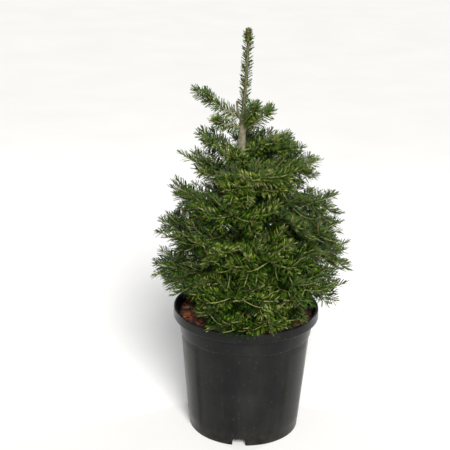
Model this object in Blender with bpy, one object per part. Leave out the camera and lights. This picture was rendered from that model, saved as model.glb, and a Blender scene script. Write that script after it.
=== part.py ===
"""Potted young fir tree: trunk, boughs and sprays of needles in a black nursery pot.

Metres, +Z up. The origin is the centre of the pot's underside, on the ground.
Azimuth is in degrees, 0 at the front (-Y) and 90 to the right (+X).
"""
import math
import random

import bmesh
import bpy
from mathutils import Matrix, Vector
from mathutils.bvhtree import BVHTree

# Driving dimensions of the pot
POT_HEIGHT = 0.285
POT_SIDES = 36
COLLAR_RADIUS = 0.160
COLLAR_DEPTH = 0.022
COLLAR_WIDTH = 0.0055
NECK_RADIUS = 0.1485
SHOULDER_HEIGHT = 0.227
SHOULDER_RADIUS = 0.1432
BASE_RADIUS = 0.122
WALL = 0.0024
RIB_COUNT = 6
RIB_HEIGHT = 0.0018
RIB_HALF_ANGLE = 20.0
RIB_FIRST_AZIMUTH = -5.0
FLOOR_RAISE = 0.018
FLOOR_THICKNESS = 0.004
FOOT_WIDTH = 0.0042
PAD_RADIUS = 0.030
NOTCH_COUNT = 4
NOTCH_WIDTH = 0.031
NOTCH_TOP_WIDTH = 0.027
NOTCH_HEIGHT = 0.0165

# Driving dimensions of the tree
SOIL_TOP = 0.270
SOIL_ROUGHNESS = 0.0025
TREE_TOP = 0.893
TRUNK_SIDES = 10
FLARE_RADIUS = 0.0185
FLARE_HEIGHT = 0.030
TRUNK_FOOT_RADIUS = 0.0118
WHORL_RADIUS = 0.0070
LEADER_START = 0.700
LEADER_RADIUS = 0.0042
LEADER_TIP_RADIUS = 0.0026
LEAN_HEIGHT = 0.620
LEAN_OFFSET = -0.018
TIP_OFFSET = -0.0087
CLEARANCE = 0.0004

# How far the foliage reaches from the pot's axis, on the left and on the right, by height
LEFT_REACH = ((0.280, 0.172), (0.310, 0.188), (0.350, 0.196), (0.455, 0.200), (0.510, 0.168),
              (0.580, 0.156), (0.640, 0.149), (0.680, 0.116), (0.715, 0.100), (0.765, 0.125), (0.790, 0.110))
RIGHT_REACH = ((0.280, 0.180), (0.318, 0.213), (0.410, 0.229), (0.480, 0.203), (0.540, 0.192),
               (0.575, 0.172), (0.624, 0.146), (0.665, 0.104), (0.690, 0.074), (0.740, 0.056), (0.790, 0.040))

# Each whorl of boughs: name, height on the trunk, height of its tips, the azimuths of its boughs
WHORLS = (
    ("low", 0.318, 0.328, (-98, -34, 18, 84, 168)),
    ("lower", 0.368, 0.394, (-78, -8, 46, 98, 196)),
    ("middle", 0.430, 0.462, (-97, -40, 16, 84, 160)),
    ("upper", 0.498, 0.540, (-82, -14, 88, 182)),
    ("high", 0.566, 0.618, (-95, 16, 84, 150)),
)
TIP_SWING = 0.009
FRONT_DROOP = 0.020
DROOPING = ("low", "lower")
SIDE_LIFT = 0.014
# The two youngest whorls leave the trunk with needles to their base: azimuth, height on the trunk,
# reach and tip height of each shoot
YOUNG_WHORLS = (
    ("top", ((-95, 0.708, 0.122, 0.765), (-58, 0.690, 0.096, 0.716), (14, 0.698, 0.052, 0.748),
             (78, 0.684, 0.056, 0.738), (168, 0.688, 0.075, 0.705))),
    ("second", ((-82, 0.638, 0.113, 0.677), (-22, 0.626, 0.100, 0.650), (62, 0.639, 0.084, 0.680),
                (98, 0.630, 0.120, 0.655), (178, 0.624, 0.110, 0.655))),
)
# The topmost shoots are this year's and don't branch: two narrow blades cross along each
ROD_WHORL = "top"
ROD_ROWS = ((0.04, 0.92, 0.0, 0.0),)
ROD_HALF_WIDTH = 0.019

TIP_JITTER = 0.004
ROOT_JITTER = 0.006

# Boughs, and the stems that go on from them
BOUGH_SIDES = 6
BOUGH_RADIUS = 0.0042
SLIM_SHARE = 0.72
LONG_REACH = 0.200
BOUGH_TAPER = 0.55
YOUNG_RADIUS = 0.0026
LEVEL_RISE = 0.050
LEVEL_SAG = 0.07
RISING_SAG = 0.02
BOUGH_SHARE = 0.27
STEM_END_SHARE = 0.80
STEM_SIDES = 4
TWIG_RADIUS = 0.0011

# Side shoots of a stem, in pairs: place along it, length and angle against it, rise
SHOOT_SHARES = (0.35, 0.58)
SHOOT_LENGTHS = (0.62, 0.46)
SHOOT_ANGLES = (62.0, 45.0)
SHOOT_RISES = (14.0, -12.0)
TURN_SWING = 6.0
LENGTH_SWING = 0.08
RISE_SWING = (-4.0, 8.0)
ROLL_SPREAD = 55.0
LEAST_ROLL = 0.45
# The spray at a stem's tip, the standing fin and the crest over the stem's foot
TIP_OVERLAP = 0.06
TIP_ROLL_SWING = 12.0
FIN_SHARE = 0.14
FIN_HALF_WIDTH = 0.022
FIN_LIFT = 24.0
FIN_ROLL_SWING = 15.0
CREST_SHARE = 0.05
CREST_LIFT = 46.0
CREST_LENGTH = 0.36
CREST_ROLL_SWING = 25.0
# A spray: a toothed blade, thickest along its spine
SPRAY_HALF_WIDTH = 0.031
SPRAY_THICKNESS = 0.0016
SPINE_SHARES = (1.3, 0.7)
SPRAY_ROOT = 0.0014
TOOTH_PITCH = 0.030
TOOTH_SWEEP = 0.9
VALLEY_SHARE = 0.30
VALLEY_FADE = 0.45
# Trials of a spray that has to keep to its own space
TRIAL_ROLLS = (1.0, 0.4)
TRIAL_TILTS = (0.0, 9.0, -9.0, 18.0)
TRIAL_LENGTHS = (1.0, 0.85, 0.7)
TRIAL_ROOM = 0.0007
SPRAY_MARGIN = 0.006
SEED = 417

UP = Vector((0.0, 0.0, 1.0))


def clear_scene():
    """Remove whatever the open file holds."""
    for item in list(bpy.data.objects):
        bpy.data.objects.remove(item, do_unlink=True)


def material(name, colour, roughness):
    """A plain Principled finish."""
    finish = bpy.data.materials.new(name)
    finish.use_nodes = True
    shader = finish.node_tree.nodes["Principled BSDF"]
    shader.inputs["Base Color"].default_value = (*colour, 1.0)
    shader.inputs["Roughness"].default_value = roughness
    shader.inputs["Metallic"].default_value = 0.0
    return finish


def add_object(name, shape, finish, smooth_angle=None):
    """Turn a bmesh into a named object with its faces pointing out."""
    bmesh.ops.recalc_face_normals(shape, faces=shape.faces)
    mesh = bpy.data.meshes.new(name)
    shape.to_mesh(mesh)
    shape.free()
    if smooth_angle is not None:
        mesh.shade_smooth()
        mesh.set_sharp_from_angle(angle=math.radians(smooth_angle))
    item = bpy.data.objects.new(name, mesh)
    bpy.context.scene.collection.objects.link(item)
    mesh.materials.append(finish)
    return item


def blend(table, height):
    """Read a table of (height, value) pairs between its points."""
    if height <= table[0][0]:
        return table[0][1]
    for (low, first), (high, second) in zip(table, table[1:]):
        if height <= high:
            share = (height - low) / (high - low)
            return first + share * (second - first)
    return table[-1][1]


def smooth_step(value):
    """Ease from 0 to 1."""
    value = min(max(value, 0.0), 1.0)
    return value * value * (3.0 - 2.0 * value)


def outward(azimuth):
    """Level direction away from the axis at an azimuth."""
    angle = math.radians(azimuth)
    return Vector((math.sin(angle), -math.cos(angle), 0.0))


def crown_reach(height, azimuth):
    """Radius of the crown's outline about the pot's axis."""
    share = 0.5 + 0.5 * math.sin(math.radians(azimuth))
    return (1.0 - share) * blend(LEFT_REACH, height) + share * blend(RIGHT_REACH, height)


# Pot

def rib_lift(azimuth, height):
    """How far a vertical rib stands out of the pot's body."""
    step = 360.0 / RIB_COUNT
    away = abs((azimuth - RIB_FIRST_AZIMUTH + step / 2.0) % step - step / 2.0)
    across = smooth_step(1.0 - away / RIB_HALF_ANGLE)
    foot = smooth_step((height - NOTCH_HEIGHT) / NOTCH_HEIGHT)
    head = smooth_step((SHOULDER_HEIGHT - height) / NOTCH_HEIGHT)
    return RIB_HEIGHT * across * foot * head


def wall_radius(height):
    """Outer radius of the pot's plain wall below the collar."""
    if height <= SHOULDER_HEIGHT:
        return BASE_RADIUS + (SHOULDER_RADIUS - BASE_RADIUS) * height / SHOULDER_HEIGHT
    share = (height - SHOULDER_HEIGHT) / (POT_HEIGHT - COLLAR_DEPTH - SHOULDER_HEIGHT)
    return SHOULDER_RADIUS + (NECK_RADIUS - SHOULDER_RADIUS) * min(share, 1.0)


def inner_radius(height):
    """Inner radius of the pot, and of the root ball that fills it."""
    return wall_radius(height) - WALL


def pot_profile():
    """The turned section: underside, foot, wall, collar, then down the inside."""
    collar_foot = POT_HEIGHT - COLLAR_DEPTH
    floor_top = FLOOR_RAISE + FLOOR_THICKNESS
    edge = 0.0015
    step = 0.0012
    foot_inner = BASE_RADIUS - FOOT_WIDTH
    section = [
        (PAD_RADIUS, 0.0, False),
        (PAD_RADIUS, FLOOR_RAISE, False),
        (foot_inner, FLOOR_RAISE, False),
        (foot_inner, 0.0, False),
        (BASE_RADIUS - edge, 0.0, False),
        (wall_radius(edge), edge, False),
        (wall_radius(NOTCH_HEIGHT), NOTCH_HEIGHT, True),
    ]
    body_foot = 2.0 * NOTCH_HEIGHT
    body_head = SHOULDER_HEIGHT - NOTCH_HEIGHT
    section.append((wall_radius(body_foot), body_foot, True))
    section.append((wall_radius(body_head), body_head, True))
    section.append((wall_radius(SHOULDER_HEIGHT) - step, SHOULDER_HEIGHT - step, True))
    section.append((wall_radius(SHOULDER_HEIGHT) + step, SHOULDER_HEIGHT + step, False))
    section.append((NECK_RADIUS, collar_foot, False))
    section.append((COLLAR_RADIUS - edge, collar_foot, False))
    section.append((COLLAR_RADIUS, collar_foot + edge, False))
    section.append((COLLAR_RADIUS - edge / 2.0, POT_HEIGHT - 2.0 * edge, False))
    section.append((COLLAR_RADIUS - 2.0 * edge, POT_HEIGHT, False))
    section.append((COLLAR_RADIUS - COLLAR_WIDTH, POT_HEIGHT, False))
    section.append((COLLAR_RADIUS - COLLAR_WIDTH - edge, POT_HEIGHT - 2.0 * edge, False))
    section.append((inner_radius(collar_foot), collar_foot, False))
    section.append((inner_radius(SHOULDER_HEIGHT), SHOULDER_HEIGHT, False))
    section.append((inner_radius(floor_top), floor_top, False))
    return section


def turned(section, sides, first_azimuth, bottom, top):
    """Turn a section about Z, closed at the axis at two heights; ribs go where marked."""
    shape = bmesh.new()
    rings = []
    for radius, height, ribbed in section:
        ring = []
        for index in range(sides):
            azimuth = first_azimuth + 360.0 * index / sides
            reach = radius + (rib_lift(azimuth, height) if ribbed else 0.0)
            ring.append(shape.verts.new(outward(azimuth) * reach + UP * height))
        rings.append(ring)
    for low, high in zip(rings, rings[1:]):
        for index in range(sides):
            after = (index + 1) % sides
            shape.faces.new((low[index], low[after], high[after], high[index]))
    for ring, height in ((rings[0], bottom), (rings[-1], top)):
        centre = shape.verts.new(UP * height)
        for index in range(sides):
            shape.faces.new((centre, ring[index], ring[(index + 1) % sides]))
    return shape


def notch_cutter(azimuth):
    """A trapezoid block that opens one drain notch in the pot's foot."""
    shape = bmesh.new()
    bmesh.ops.create_cube(shape, size=1.0)
    depth = 0.020
    below = 0.004
    for vert in shape.verts:
        half = NOTCH_TOP_WIDTH / 2.0 if vert.co.z > 0.0 else NOTCH_WIDTH / 2.0
        vert.co.x = math.copysign(half, vert.co.x)
        vert.co.y = vert.co.y * depth
        vert.co.z = NOTCH_HEIGHT if vert.co.z > 0.0 else -below
    cutter = add_object("notch_cutter", shape, POT_PLASTIC)
    cutter.location = outward(azimuth) * (BASE_RADIUS - FOOT_WIDTH / 2.0)
    cutter.rotation_euler = (0.0, 0.0, math.radians(azimuth))
    cutter.hide_render = True
    cutter.display_type = "WIRE"
    return cutter


def keep_main_shell(mesh):
    """Drop loose scraps and the inner skin of any hollow that fusing sealed; true if it is closed."""
    shape = bmesh.new()
    shape.from_mesh(mesh)
    unseen = set(shape.faces)
    shells = []
    while unseen:
        stack = [unseen.pop()]
        shell = list(stack)
        while stack:
            for edge in stack.pop().edges:
                for face in edge.link_faces:
                    if face in unseen:
                        unseen.remove(face)
                        stack.append(face)
                        shell.append(face)
        shells.append(shell)
    shells.sort(key=lambda shell: sum(face.calc_area() for face in shell), reverse=True)
    scraps = [face for shell in shells[1:] for face in shell]
    bmesh.ops.delete(shape, geom=scraps, context="FACES")
    bmesh.ops.triangulate(shape, faces=shape.faces)
    closed = all(len(edge.link_faces) == 2 for edge in shape.edges)
    shape.to_mesh(mesh)
    shape.free()
    return closed


def combine(item, others, operation):
    """One Boolean with a whole collection, applied, and the collection's objects removed.

    Where neither solver gives a closed solid, the last piece is left out and the rest are tried again.
    """
    group = bpy.data.collections.new(item.name + "_pieces")
    bpy.context.scene.collection.children.link(group)
    for other in others:
        bpy.context.scene.collection.objects.unlink(other)
        group.objects.link(other)
    boolean = item.modifiers.new("combine", "BOOLEAN")
    boolean.operation = operation
    boolean.operand_type = "COLLECTION"
    boolean.collection = group
    result = None
    while result is None and others:
        for solver in ("EXACT", "MANIFOLD"):
            boolean.solver = solver
            bpy.context.view_layer.update()
            graph = bpy.context.evaluated_depsgraph_get()
            trial = bpy.data.meshes.new_from_object(item.evaluated_get(graph))
            if keep_main_shell(trial):
                result = trial
                break
        if result is None:
            bpy.data.objects.remove(others.pop(), do_unlink=True)
    item.modifiers.clear()
    item.data = result
    for other in others:
        bpy.data.objects.remove(other, do_unlink=True)
    bpy.data.collections.remove(group)


def make_pot():
    """The black pot: raised floor, notched foot, ribbed body, plain neck and collar."""
    shape = turned(pot_profile(), POT_SIDES, RIB_FIRST_AZIMUTH, 0.0, FLOOR_RAISE + FLOOR_THICKNESS)
    pot = add_object("pot", shape, POT_PLASTIC)
    cutters = []
    for index in range(NOTCH_COUNT):
        cutters.append(notch_cutter(RIB_FIRST_AZIMUTH + index * 360.0 / NOTCH_COUNT))
    combine(pot, cutters, "DIFFERENCE")
    pot.data.shade_smooth()
    pot.data.set_sharp_from_angle(angle=math.radians(30.0))
    return pot


def make_root_ball():
    """The potting bark that fills the pot, with an uneven top and a level seat for the trunk."""
    draw = random.Random(SEED)
    foot = FLOOR_RAISE + FLOOR_THICKNESS + CLEARANCE
    section = [(inner_radius(foot) - CLEARANCE, foot, False)]
    section.append((inner_radius(SHOULDER_HEIGHT) - CLEARANCE, SHOULDER_HEIGHT, False))
    collar_foot = POT_HEIGHT - COLLAR_DEPTH
    section.append((inner_radius(collar_foot) - CLEARANCE, collar_foot, False))
    edge = inner_radius(collar_foot) - CLEARANCE
    for share in (0.98, 0.60, 0.22):
        section.append((edge * share, SOIL_TOP, False))
    shape = turned(section, POT_SIDES, RIB_FIRST_AZIMUTH, foot, SOIL_TOP)
    seat = edge * 0.25
    for vert in shape.verts:
        if vert.co.z >= SOIL_TOP - CLEARANCE and vert.co.xy.length > seat:
            vert.co.z += draw.uniform(-1.0, 0.6) * SOIL_ROUGHNESS
    return add_object("potting_bark", shape, POTTING_BARK, 40.0)


# Trunk

def trunk_centre(height):
    """The trunk's axis, which leans to the left and comes back along the leader."""
    share = (height - SOIL_TOP) / (LEAN_HEIGHT - SOIL_TOP)
    lean = LEAN_OFFSET * smooth_step(share)
    back = smooth_step((height - LEAN_HEIGHT) / (TREE_TOP - LEAN_HEIGHT))
    return Vector((lean + (TIP_OFFSET - LEAN_OFFSET) * back, 0.0, height))


def trunk_radius(height):
    """The trunk's taper, with its root flare and the slimmer leader."""
    rise = height - SOIL_TOP
    flare = (FLARE_RADIUS - TRUNK_FOOT_RADIUS) * (1.0 - smooth_step(rise / FLARE_HEIGHT))
    if height < LEADER_START:
        share = rise / (LEADER_START - SOIL_TOP)
        return flare + TRUNK_FOOT_RADIUS + (WHORL_RADIUS - TRUNK_FOOT_RADIUS) * share
    neck = smooth_step((height - LEADER_START) / FLARE_HEIGHT)
    share = (height - LEADER_START) / (TREE_TOP - LEADER_START)
    leader = LEADER_RADIUS + (LEADER_TIP_RADIUS - LEADER_RADIUS) * share
    return WHORL_RADIUS + (leader - WHORL_RADIUS) * neck


def tube(shape, centres, radii, sides, forwards):
    """One closed tapering limb through a list of centres, each ring square to its direction."""
    rings = []
    for centre, radius, forward in zip(centres, radii, forwards):
        reference = UP if abs(forward.z) < 0.9 else Vector((1.0, 0.0, 0.0))
        side = forward.cross(reference).normalized()
        top = side.cross(forward).normalized()
        ring = []
        for index in range(sides):
            turn = 2.0 * math.pi * index / sides
            offset = side * math.cos(turn) + top * math.sin(turn)
            ring.append(shape.verts.new(centre + offset * radius))
        rings.append(ring)
    for low, high in zip(rings, rings[1:]):
        for index in range(sides):
            after = (index + 1) % sides
            shape.faces.new((low[index], low[after], high[after], high[index]))
    shape.faces.new(list(reversed(rings[0])))
    shape.faces.new(rings[-1])


def trunk_shape(extra, first, last, steps):
    """A length of the trunk, thicker by an extra amount."""
    shape = bmesh.new()
    heights = [first + (last - first) * index / steps for index in range(steps + 1)]
    centres = [trunk_centre(height) for height in heights]
    radii = [trunk_radius(height) + extra for height in heights]
    tube(shape, centres, radii, TRUNK_SIDES, [UP] * len(heights))
    return shape


def make_trunk():
    """The whole trunk from its flat cut on the potting bark to the leader's tip."""
    foot = SOIL_TOP + CLEARANCE
    shape = bmesh.new()
    heights = []
    stretches = (
        (foot, foot + FLARE_HEIGHT, 3),
        (foot + FLARE_HEIGHT, LEADER_START, 6),
        (LEADER_START, LEADER_START + FLARE_HEIGHT, 2),
        (LEADER_START + FLARE_HEIGHT, TREE_TOP, 2),
    )
    for low, high, steps in stretches:
        heights += [low + (high - low) * index / steps for index in range(steps)]
    heights.append(TREE_TOP)
    centres = [trunk_centre(height) for height in heights]
    radii = [trunk_radius(height) for height in heights]
    tube(shape, centres, radii, TRUNK_SIDES, [UP] * len(heights))
    return add_object("trunk", shape, TRUNK_BARK, 50.0)


# Boughs

class Limb:
    """The line that a bough and the stem of its mass of needles follow."""

    def __init__(self, name, azimuth, root_height, tip_height, reach, radius):
        self.name = name
        self.azimuth = azimuth
        self.radius = radius
        away = outward(azimuth)
        seat = trunk_radius(root_height) + CLEARANCE
        self.start = trunk_centre(root_height) + away * seat
        self.tip = away * reach + UP * tip_height
        run = self.tip - self.start
        sag = LEVEL_SAG if tip_height - root_height < LEVEL_RISE else RISING_SAG
        self.bend = self.start + run * 0.5 - UP * (sag * run.length)
        self.length = run.length

    def point(self, share):
        """A point on the line, from 0 at the trunk to 1 at the tip."""
        rest = 1.0 - share
        return self.start * rest * rest + self.bend * 2.0 * rest * share + self.tip * share * share

    def forward(self, share):
        """The line's direction there."""
        rest = 1.0 - share
        return ((self.bend - self.start) * rest + (self.tip - self.bend) * share).normalized()

    def thickness(self, share):
        """The limb's radius there."""
        full = self.radius * (1.0 - (1.0 - BOUGH_TAPER) * share / BOUGH_SHARE)
        end = self.radius * BOUGH_TAPER
        if share <= BOUGH_SHARE:
            return full
        return end + (TWIG_RADIUS - end) * (share - BOUGH_SHARE) / (STEM_END_SHARE - BOUGH_SHARE)


def plan_limbs():
    """Every whorl's limbs, worked out from the crown's outline."""
    draw = random.Random(SEED)
    limbs = []
    for name, root_height, tip_height, azimuths in WHORLS:
        for number, azimuth in enumerate(azimuths, start=1):
            facing = math.cos(math.radians(azimuth))
            sideways = abs(math.sin(math.radians(azimuth)))
            hang = FRONT_DROOP * max(facing, 0.0) if name in DROOPING else 0.0
            swing = TIP_SWING * (-1.0) ** number
            end = tip_height + SIDE_LIFT * sideways - hang + swing + draw.uniform(-TIP_JITTER, TIP_JITTER)
            reach = crown_reach(end, azimuth) - SPRAY_MARGIN * (1.0 - sideways)
            start = root_height + draw.uniform(-ROOT_JITTER, ROOT_JITTER)
            radius = BOUGH_RADIUS * (SLIM_SHARE + (1.0 - SLIM_SHARE) * reach / LONG_REACH)
            limbs.append(Limb(f"{name}_{number}", azimuth, start, end, reach, radius))
    return limbs


def make_bough(limb):
    """One tapering bough, from the trunk to where it enters its mass of needles."""
    shape = bmesh.new()
    steps = 3
    shares = [BOUGH_SHARE * index / steps for index in range(steps + 1)]
    forwards = [limb.forward(share) for share in shares]
    forwards[0] = outward(limb.azimuth)
    centres = [limb.point(share) for share in shares]
    radii = [limb.thickness(share) for share in shares]
    tube(shape, centres, radii, BOUGH_SIDES, forwards)
    return add_object("bough_" + limb.name, shape, BOUGH_BARK, 50.0)


# Masses of needles

def spray_blade(root, along, across, length, half_width, extra=0.0, end_width=0.35):
    """A spray of needles: a toothed blade with a raised spine above and a flat face below."""
    shape = bmesh.new()
    normal = along.cross(across).normalized()
    teeth = max(3, round(length / TOOTH_PITCH))
    rows = []
    for index in range(teeth):
        share = index / teeth
        centre = root + along * (length * share)
        valley = half_width * VALLEY_SHARE * (1.0 - VALLEY_FADE * share) if index else SPRAY_ROOT
        thick, thin = SPINE_SHARES
        rise = SPRAY_THICKNESS * (thick + (thin - thick) * share) + extra
        row = [
            shape.verts.new(centre + across * (valley + extra) - normal * extra),
            shape.verts.new(centre + normal * rise),
            shape.verts.new(centre - across * (valley + extra) - normal * extra),
        ]
        rows.append(row)
    tip = shape.verts.new(root + along * (length + extra))
    for index in range(teeth):
        low = rows[index]
        share = (index + TOOTH_SWEEP) / teeth
        width = half_width * max(math.sqrt(1.0 - share ** 3), end_width)
        point = root + along * (length * share)
        left = shape.verts.new(point + across * (width + extra))
        right = shape.verts.new(point - across * (width + extra))
        if index + 1 < teeth:
            high = rows[index + 1]
            for tooth, edge in ((left, 0), (right, 2)):
                shape.faces.new((low[1], low[edge], tooth))
                shape.faces.new((low[1], tooth, high[1]))
                shape.faces.new((tooth, high[edge], high[1]))
            shape.faces.new((low[0], left, high[0]))
            shape.faces.new((low[2], right, high[2]))
            shape.faces.new((low[0], low[2], high[2], high[0]))
        else:
            for tooth, edge in ((left, 0), (right, 2)):
                shape.faces.new((low[1], low[edge], tooth))
                shape.faces.new((low[1], tooth, tip))
            shape.faces.new((low[0], left, tip))
            shape.faces.new((low[2], right, tip))
            shape.faces.new((low[0], low[2], tip))
    first = rows[0]
    shape.faces.new((first[0], first[1], first[2]))
    return shape


def inside_crown(shape):
    """True while every point keeps to the crown's outline and clear of the pot and its bark."""
    for vert in shape.verts:
        place = vert.co
        reach = place.xy.length
        azimuth = math.degrees(math.atan2(place.x, -place.y))
        if reach > crown_reach(place.z, azimuth) + SPRAY_MARGIN:
            return False
        if reach < COLLAR_RADIUS and place.z < SOIL_TOP + SPRAY_MARGIN:
            return False
    return True


def tree_of(item):
    """Search tree of an object's mesh."""
    mesh = item.data
    points = [vert.co.copy() for vert in mesh.vertices]
    return BVHTree.FromPolygons(points, [tuple(face.vertices) for face in mesh.polygons])


def is_free(shape, neighbours):
    """True when a shape touches none of the finished pieces."""
    bmesh.ops.recalc_face_normals(shape, faces=shape.faces)
    own = BVHTree.FromBMesh(shape)
    return not any(own.overlap(other) for other in neighbours)


def place_spray(root, along, across, roll, length, half_width, neighbours):
    """The first of a few trial blades that keeps to its own space, or none."""
    for roll_share in TRIAL_ROLLS:
        lean = Matrix.Rotation(math.radians(roll * roll_share), 3, along) @ across
        for tilt in TRIAL_TILTS:
            heading = Matrix.Rotation(math.radians(tilt), 3, lean) @ along
            for share in TRIAL_LENGTHS:
                trial = spray_blade(root, heading, lean, length * share, half_width, TRIAL_ROOM)
                fits = inside_crown(trial) and is_free(trial, neighbours)
                trial.free()
                if fits:
                    return spray_blade(root, heading, lean, length * share, half_width)
    return None


def make_mass(name, limb, first_share, rows, neighbours, is_rod=False):
    """A stem with side sprays, a spray at its tip and a standing one, fused into one solid."""
    draw = random.Random(f"{SEED}{name}")
    side_half_width = ROD_HALF_WIDTH if is_rod else SPRAY_HALF_WIDTH
    shape = bmesh.new()
    steps = 3
    shares = [first_share + (STEM_END_SHARE - first_share) * index / steps for index in range(steps + 1)]
    forwards = [limb.forward(share) for share in shares]
    centres = [limb.point(share) for share in shares]
    if first_share > 0.0:
        centres[0] = centres[0] + forwards[0] * CLEARANCE
    else:
        forwards[0] = outward(limb.azimuth)
    radii = [limb.thickness(share) for share in shares]
    tube(shape, centres, radii, STEM_SIDES, forwards)
    stem = add_object("needles_" + name, shape, FIR_NEEDLES)
    sprays = []

    def add_spray(share, angle, roll, length, half_width, rise=0.0):
        """One spray from the stem, turned aside by an angle and rolled about its own line."""
        forward = limb.forward(share)
        level = UP.cross(forward).normalized()
        forward = Matrix.Rotation(math.radians(-rise), 3, level) @ forward
        lift = forward.cross(level).normalized()
        along = Matrix.Rotation(math.radians(angle), 3, lift) @ forward
        across = Matrix.Rotation(math.radians(angle), 3, lift) @ level
        blade = place_spray(limb.point(share), along, across, roll, length, half_width, neighbours)
        if blade:
            sprays.append(add_object("spray", blade, FIR_NEEDLES))

    end_share = STEM_END_SHARE - TIP_OVERLAP
    end_length = (limb.tip - limb.point(end_share)).length
    add_spray(end_share, 0.0, draw.uniform(-TIP_ROLL_SWING, TIP_ROLL_SWING), end_length, side_half_width)
    for share, part, angle, rise in rows:
        for side in (-1.0, 1.0):
            turn = side * (angle + draw.uniform(-TURN_SWING, TURN_SWING))
            roll = side * draw.uniform(LEAST_ROLL, 1.0) * ROLL_SPREAD
            length = limb.length * part * draw.uniform(1.0 - LENGTH_SWING, 1.0 + LENGTH_SWING)
            lift = 0.0 if is_rod else side * rise + draw.uniform(*RISE_SWING)
            add_spray(share, turn, roll, length, side_half_width, lift)
    if not is_rod:
        fin_share = first_share + FIN_SHARE
        fin_length = limb.length * (STEM_END_SHARE - fin_share)
        fin_roll = 90.0 + draw.uniform(-FIN_ROLL_SWING, FIN_ROLL_SWING)
        add_spray(fin_share, 0.0, fin_roll, fin_length, FIN_HALF_WIDTH, FIN_LIFT)
    if first_share > 0.0:
        roll = draw.uniform(-CREST_ROLL_SWING, CREST_ROLL_SWING)
        crest_length = limb.length * CREST_LENGTH
        add_spray(first_share + CREST_SHARE, 0.0, roll, crest_length, SPRAY_HALF_WIDTH, CREST_LIFT)
    combine(stem, sprays, "UNION")
    return stem


def make_leader_needles():
    """The needles round the leader: six toothed fins on a thin sleeve, closed over the tip."""
    foot = LEADER_START + 0.018
    sleeve = 0.0014
    cap = 0.003
    steps = 6
    loose = 2.0 * CLEARANCE
    shape = trunk_shape(loose + sleeve, foot, TREE_TOP + cap, steps)
    needles = add_object("needles_leader", shape, FIR_NEEDLES)
    fins = []
    fin_half_width = 0.0125
    fin_foot = trunk_centre(foot + sleeve)
    along = trunk_centre(TREE_TOP + cap) - fin_foot
    for index in range(3):
        across = outward(20.0 + 60.0 * index)
        across = (across - along * across.dot(along) / along.length_squared).normalized()
        blade = spray_blade(fin_foot, along.normalized(), across, along.length, fin_half_width, 0.0, 0.75)
        fins.append(add_object("fin", blade, FIR_NEEDLES))
    combine(needles, fins, "UNION")
    core_shape = trunk_shape(loose, foot - cap, TREE_TOP + CLEARANCE, steps)
    core = add_object("leader_core", core_shape, FIR_NEEDLES)
    combine(needles, [core], "DIFFERENCE")
    return needles


clear_scene()
POT_PLASTIC = material("black_pot_plastic", (0.012, 0.013, 0.014), 0.42)
POTTING_BARK = material("red_brown_potting_bark", (0.11, 0.032, 0.014), 0.95)
TRUNK_BARK = material("grey_tan_trunk_bark", (0.22, 0.17, 0.12), 0.85)
BOUGH_BARK = material("olive_tan_bough_bark", (0.20, 0.16, 0.07), 0.8)
FIR_NEEDLES = material("fir_needles", (0.035, 0.11, 0.02), 0.5)

finished = [make_pot(), make_root_ball(), make_trunk()]
all_limbs = plan_limbs()
for one_limb in all_limbs:
    finished.append(make_bough(one_limb))
bpy.context.view_layer.update()
search_trees = [tree_of(item) for item in finished]
side_rows = list(zip(SHOOT_SHARES, SHOOT_LENGTHS, SHOOT_ANGLES, SHOOT_RISES))

leader = make_leader_needles()
search_trees.append(tree_of(leader))
for whorl, shoots in YOUNG_WHORLS:
    for order, (azimuth, root_height, reach, tip_height) in enumerate(shoots, start=1):
        young = Limb(f"{whorl}_{order}", azimuth, root_height, tip_height, reach, YOUNG_RADIUS)
        is_rod = whorl == ROD_WHORL
        young_rows = ROD_ROWS if is_rod else side_rows[1:]
        mass = make_mass(young.name, young, 0.0, young_rows, search_trees, is_rod)
        search_trees.append(tree_of(mass))
for one_limb in all_limbs:
    mass = make_mass(one_limb.name, one_limb, BOUGH_SHARE, side_rows, search_trees)
    search_trees.append(tree_of(mass))
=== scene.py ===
"""A potted young fir: the finish of its pot and bark, and its shoots and needles.

Metres, +Z up. Azimuth is in degrees, 0 at the front (-Y) and 90 to the right (+X).
"""
import math
import random

import bpy
import numpy as np
from mathutils import Matrix, Vector, noise


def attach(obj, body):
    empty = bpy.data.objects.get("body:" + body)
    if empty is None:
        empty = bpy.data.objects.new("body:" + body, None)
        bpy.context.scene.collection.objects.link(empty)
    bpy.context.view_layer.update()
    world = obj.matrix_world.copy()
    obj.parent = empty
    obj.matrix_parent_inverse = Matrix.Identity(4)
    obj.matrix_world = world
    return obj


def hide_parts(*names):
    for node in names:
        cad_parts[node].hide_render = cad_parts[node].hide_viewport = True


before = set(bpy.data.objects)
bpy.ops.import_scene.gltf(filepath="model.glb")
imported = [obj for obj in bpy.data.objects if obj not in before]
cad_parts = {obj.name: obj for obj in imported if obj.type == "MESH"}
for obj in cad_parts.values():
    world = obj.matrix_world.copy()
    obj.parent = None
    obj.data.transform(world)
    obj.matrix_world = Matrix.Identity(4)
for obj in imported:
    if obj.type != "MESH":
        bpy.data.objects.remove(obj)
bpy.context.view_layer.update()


# The pot
# A nursery pot of black polypropylene, moulded in one piece: a rolled collar, a plain neck, six broad ribs
# down the body and a foot ring with four drain notches. It has dust and dried drops on it from watering. The
# wall is turned from its section, the ribs are lifted out of it and the notches are cut with blocks.
POT_HEIGHT = 0.285
POT_SIDES = 180
COLLAR_RADIUS = 0.160
COLLAR_DEPTH = 0.022
COLLAR_WIDTH = 0.0055
NECK_RADIUS = 0.1485
SHOULDER_HEIGHT = 0.227
SHOULDER_RADIUS = 0.1432
SHOULDER_STEP = 0.0013
BASE_RADIUS = 0.122
WALL = 0.0024
RIB_COUNT = 6
RIB_HEIGHT = 0.0019
RIB_HALF_ANGLE = 19.0
RIB_FLANK_ANGLE = 5.0
RIB_FIRST_AZIMUTH = -5.0
FLOOR_RAISE = 0.018
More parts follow.
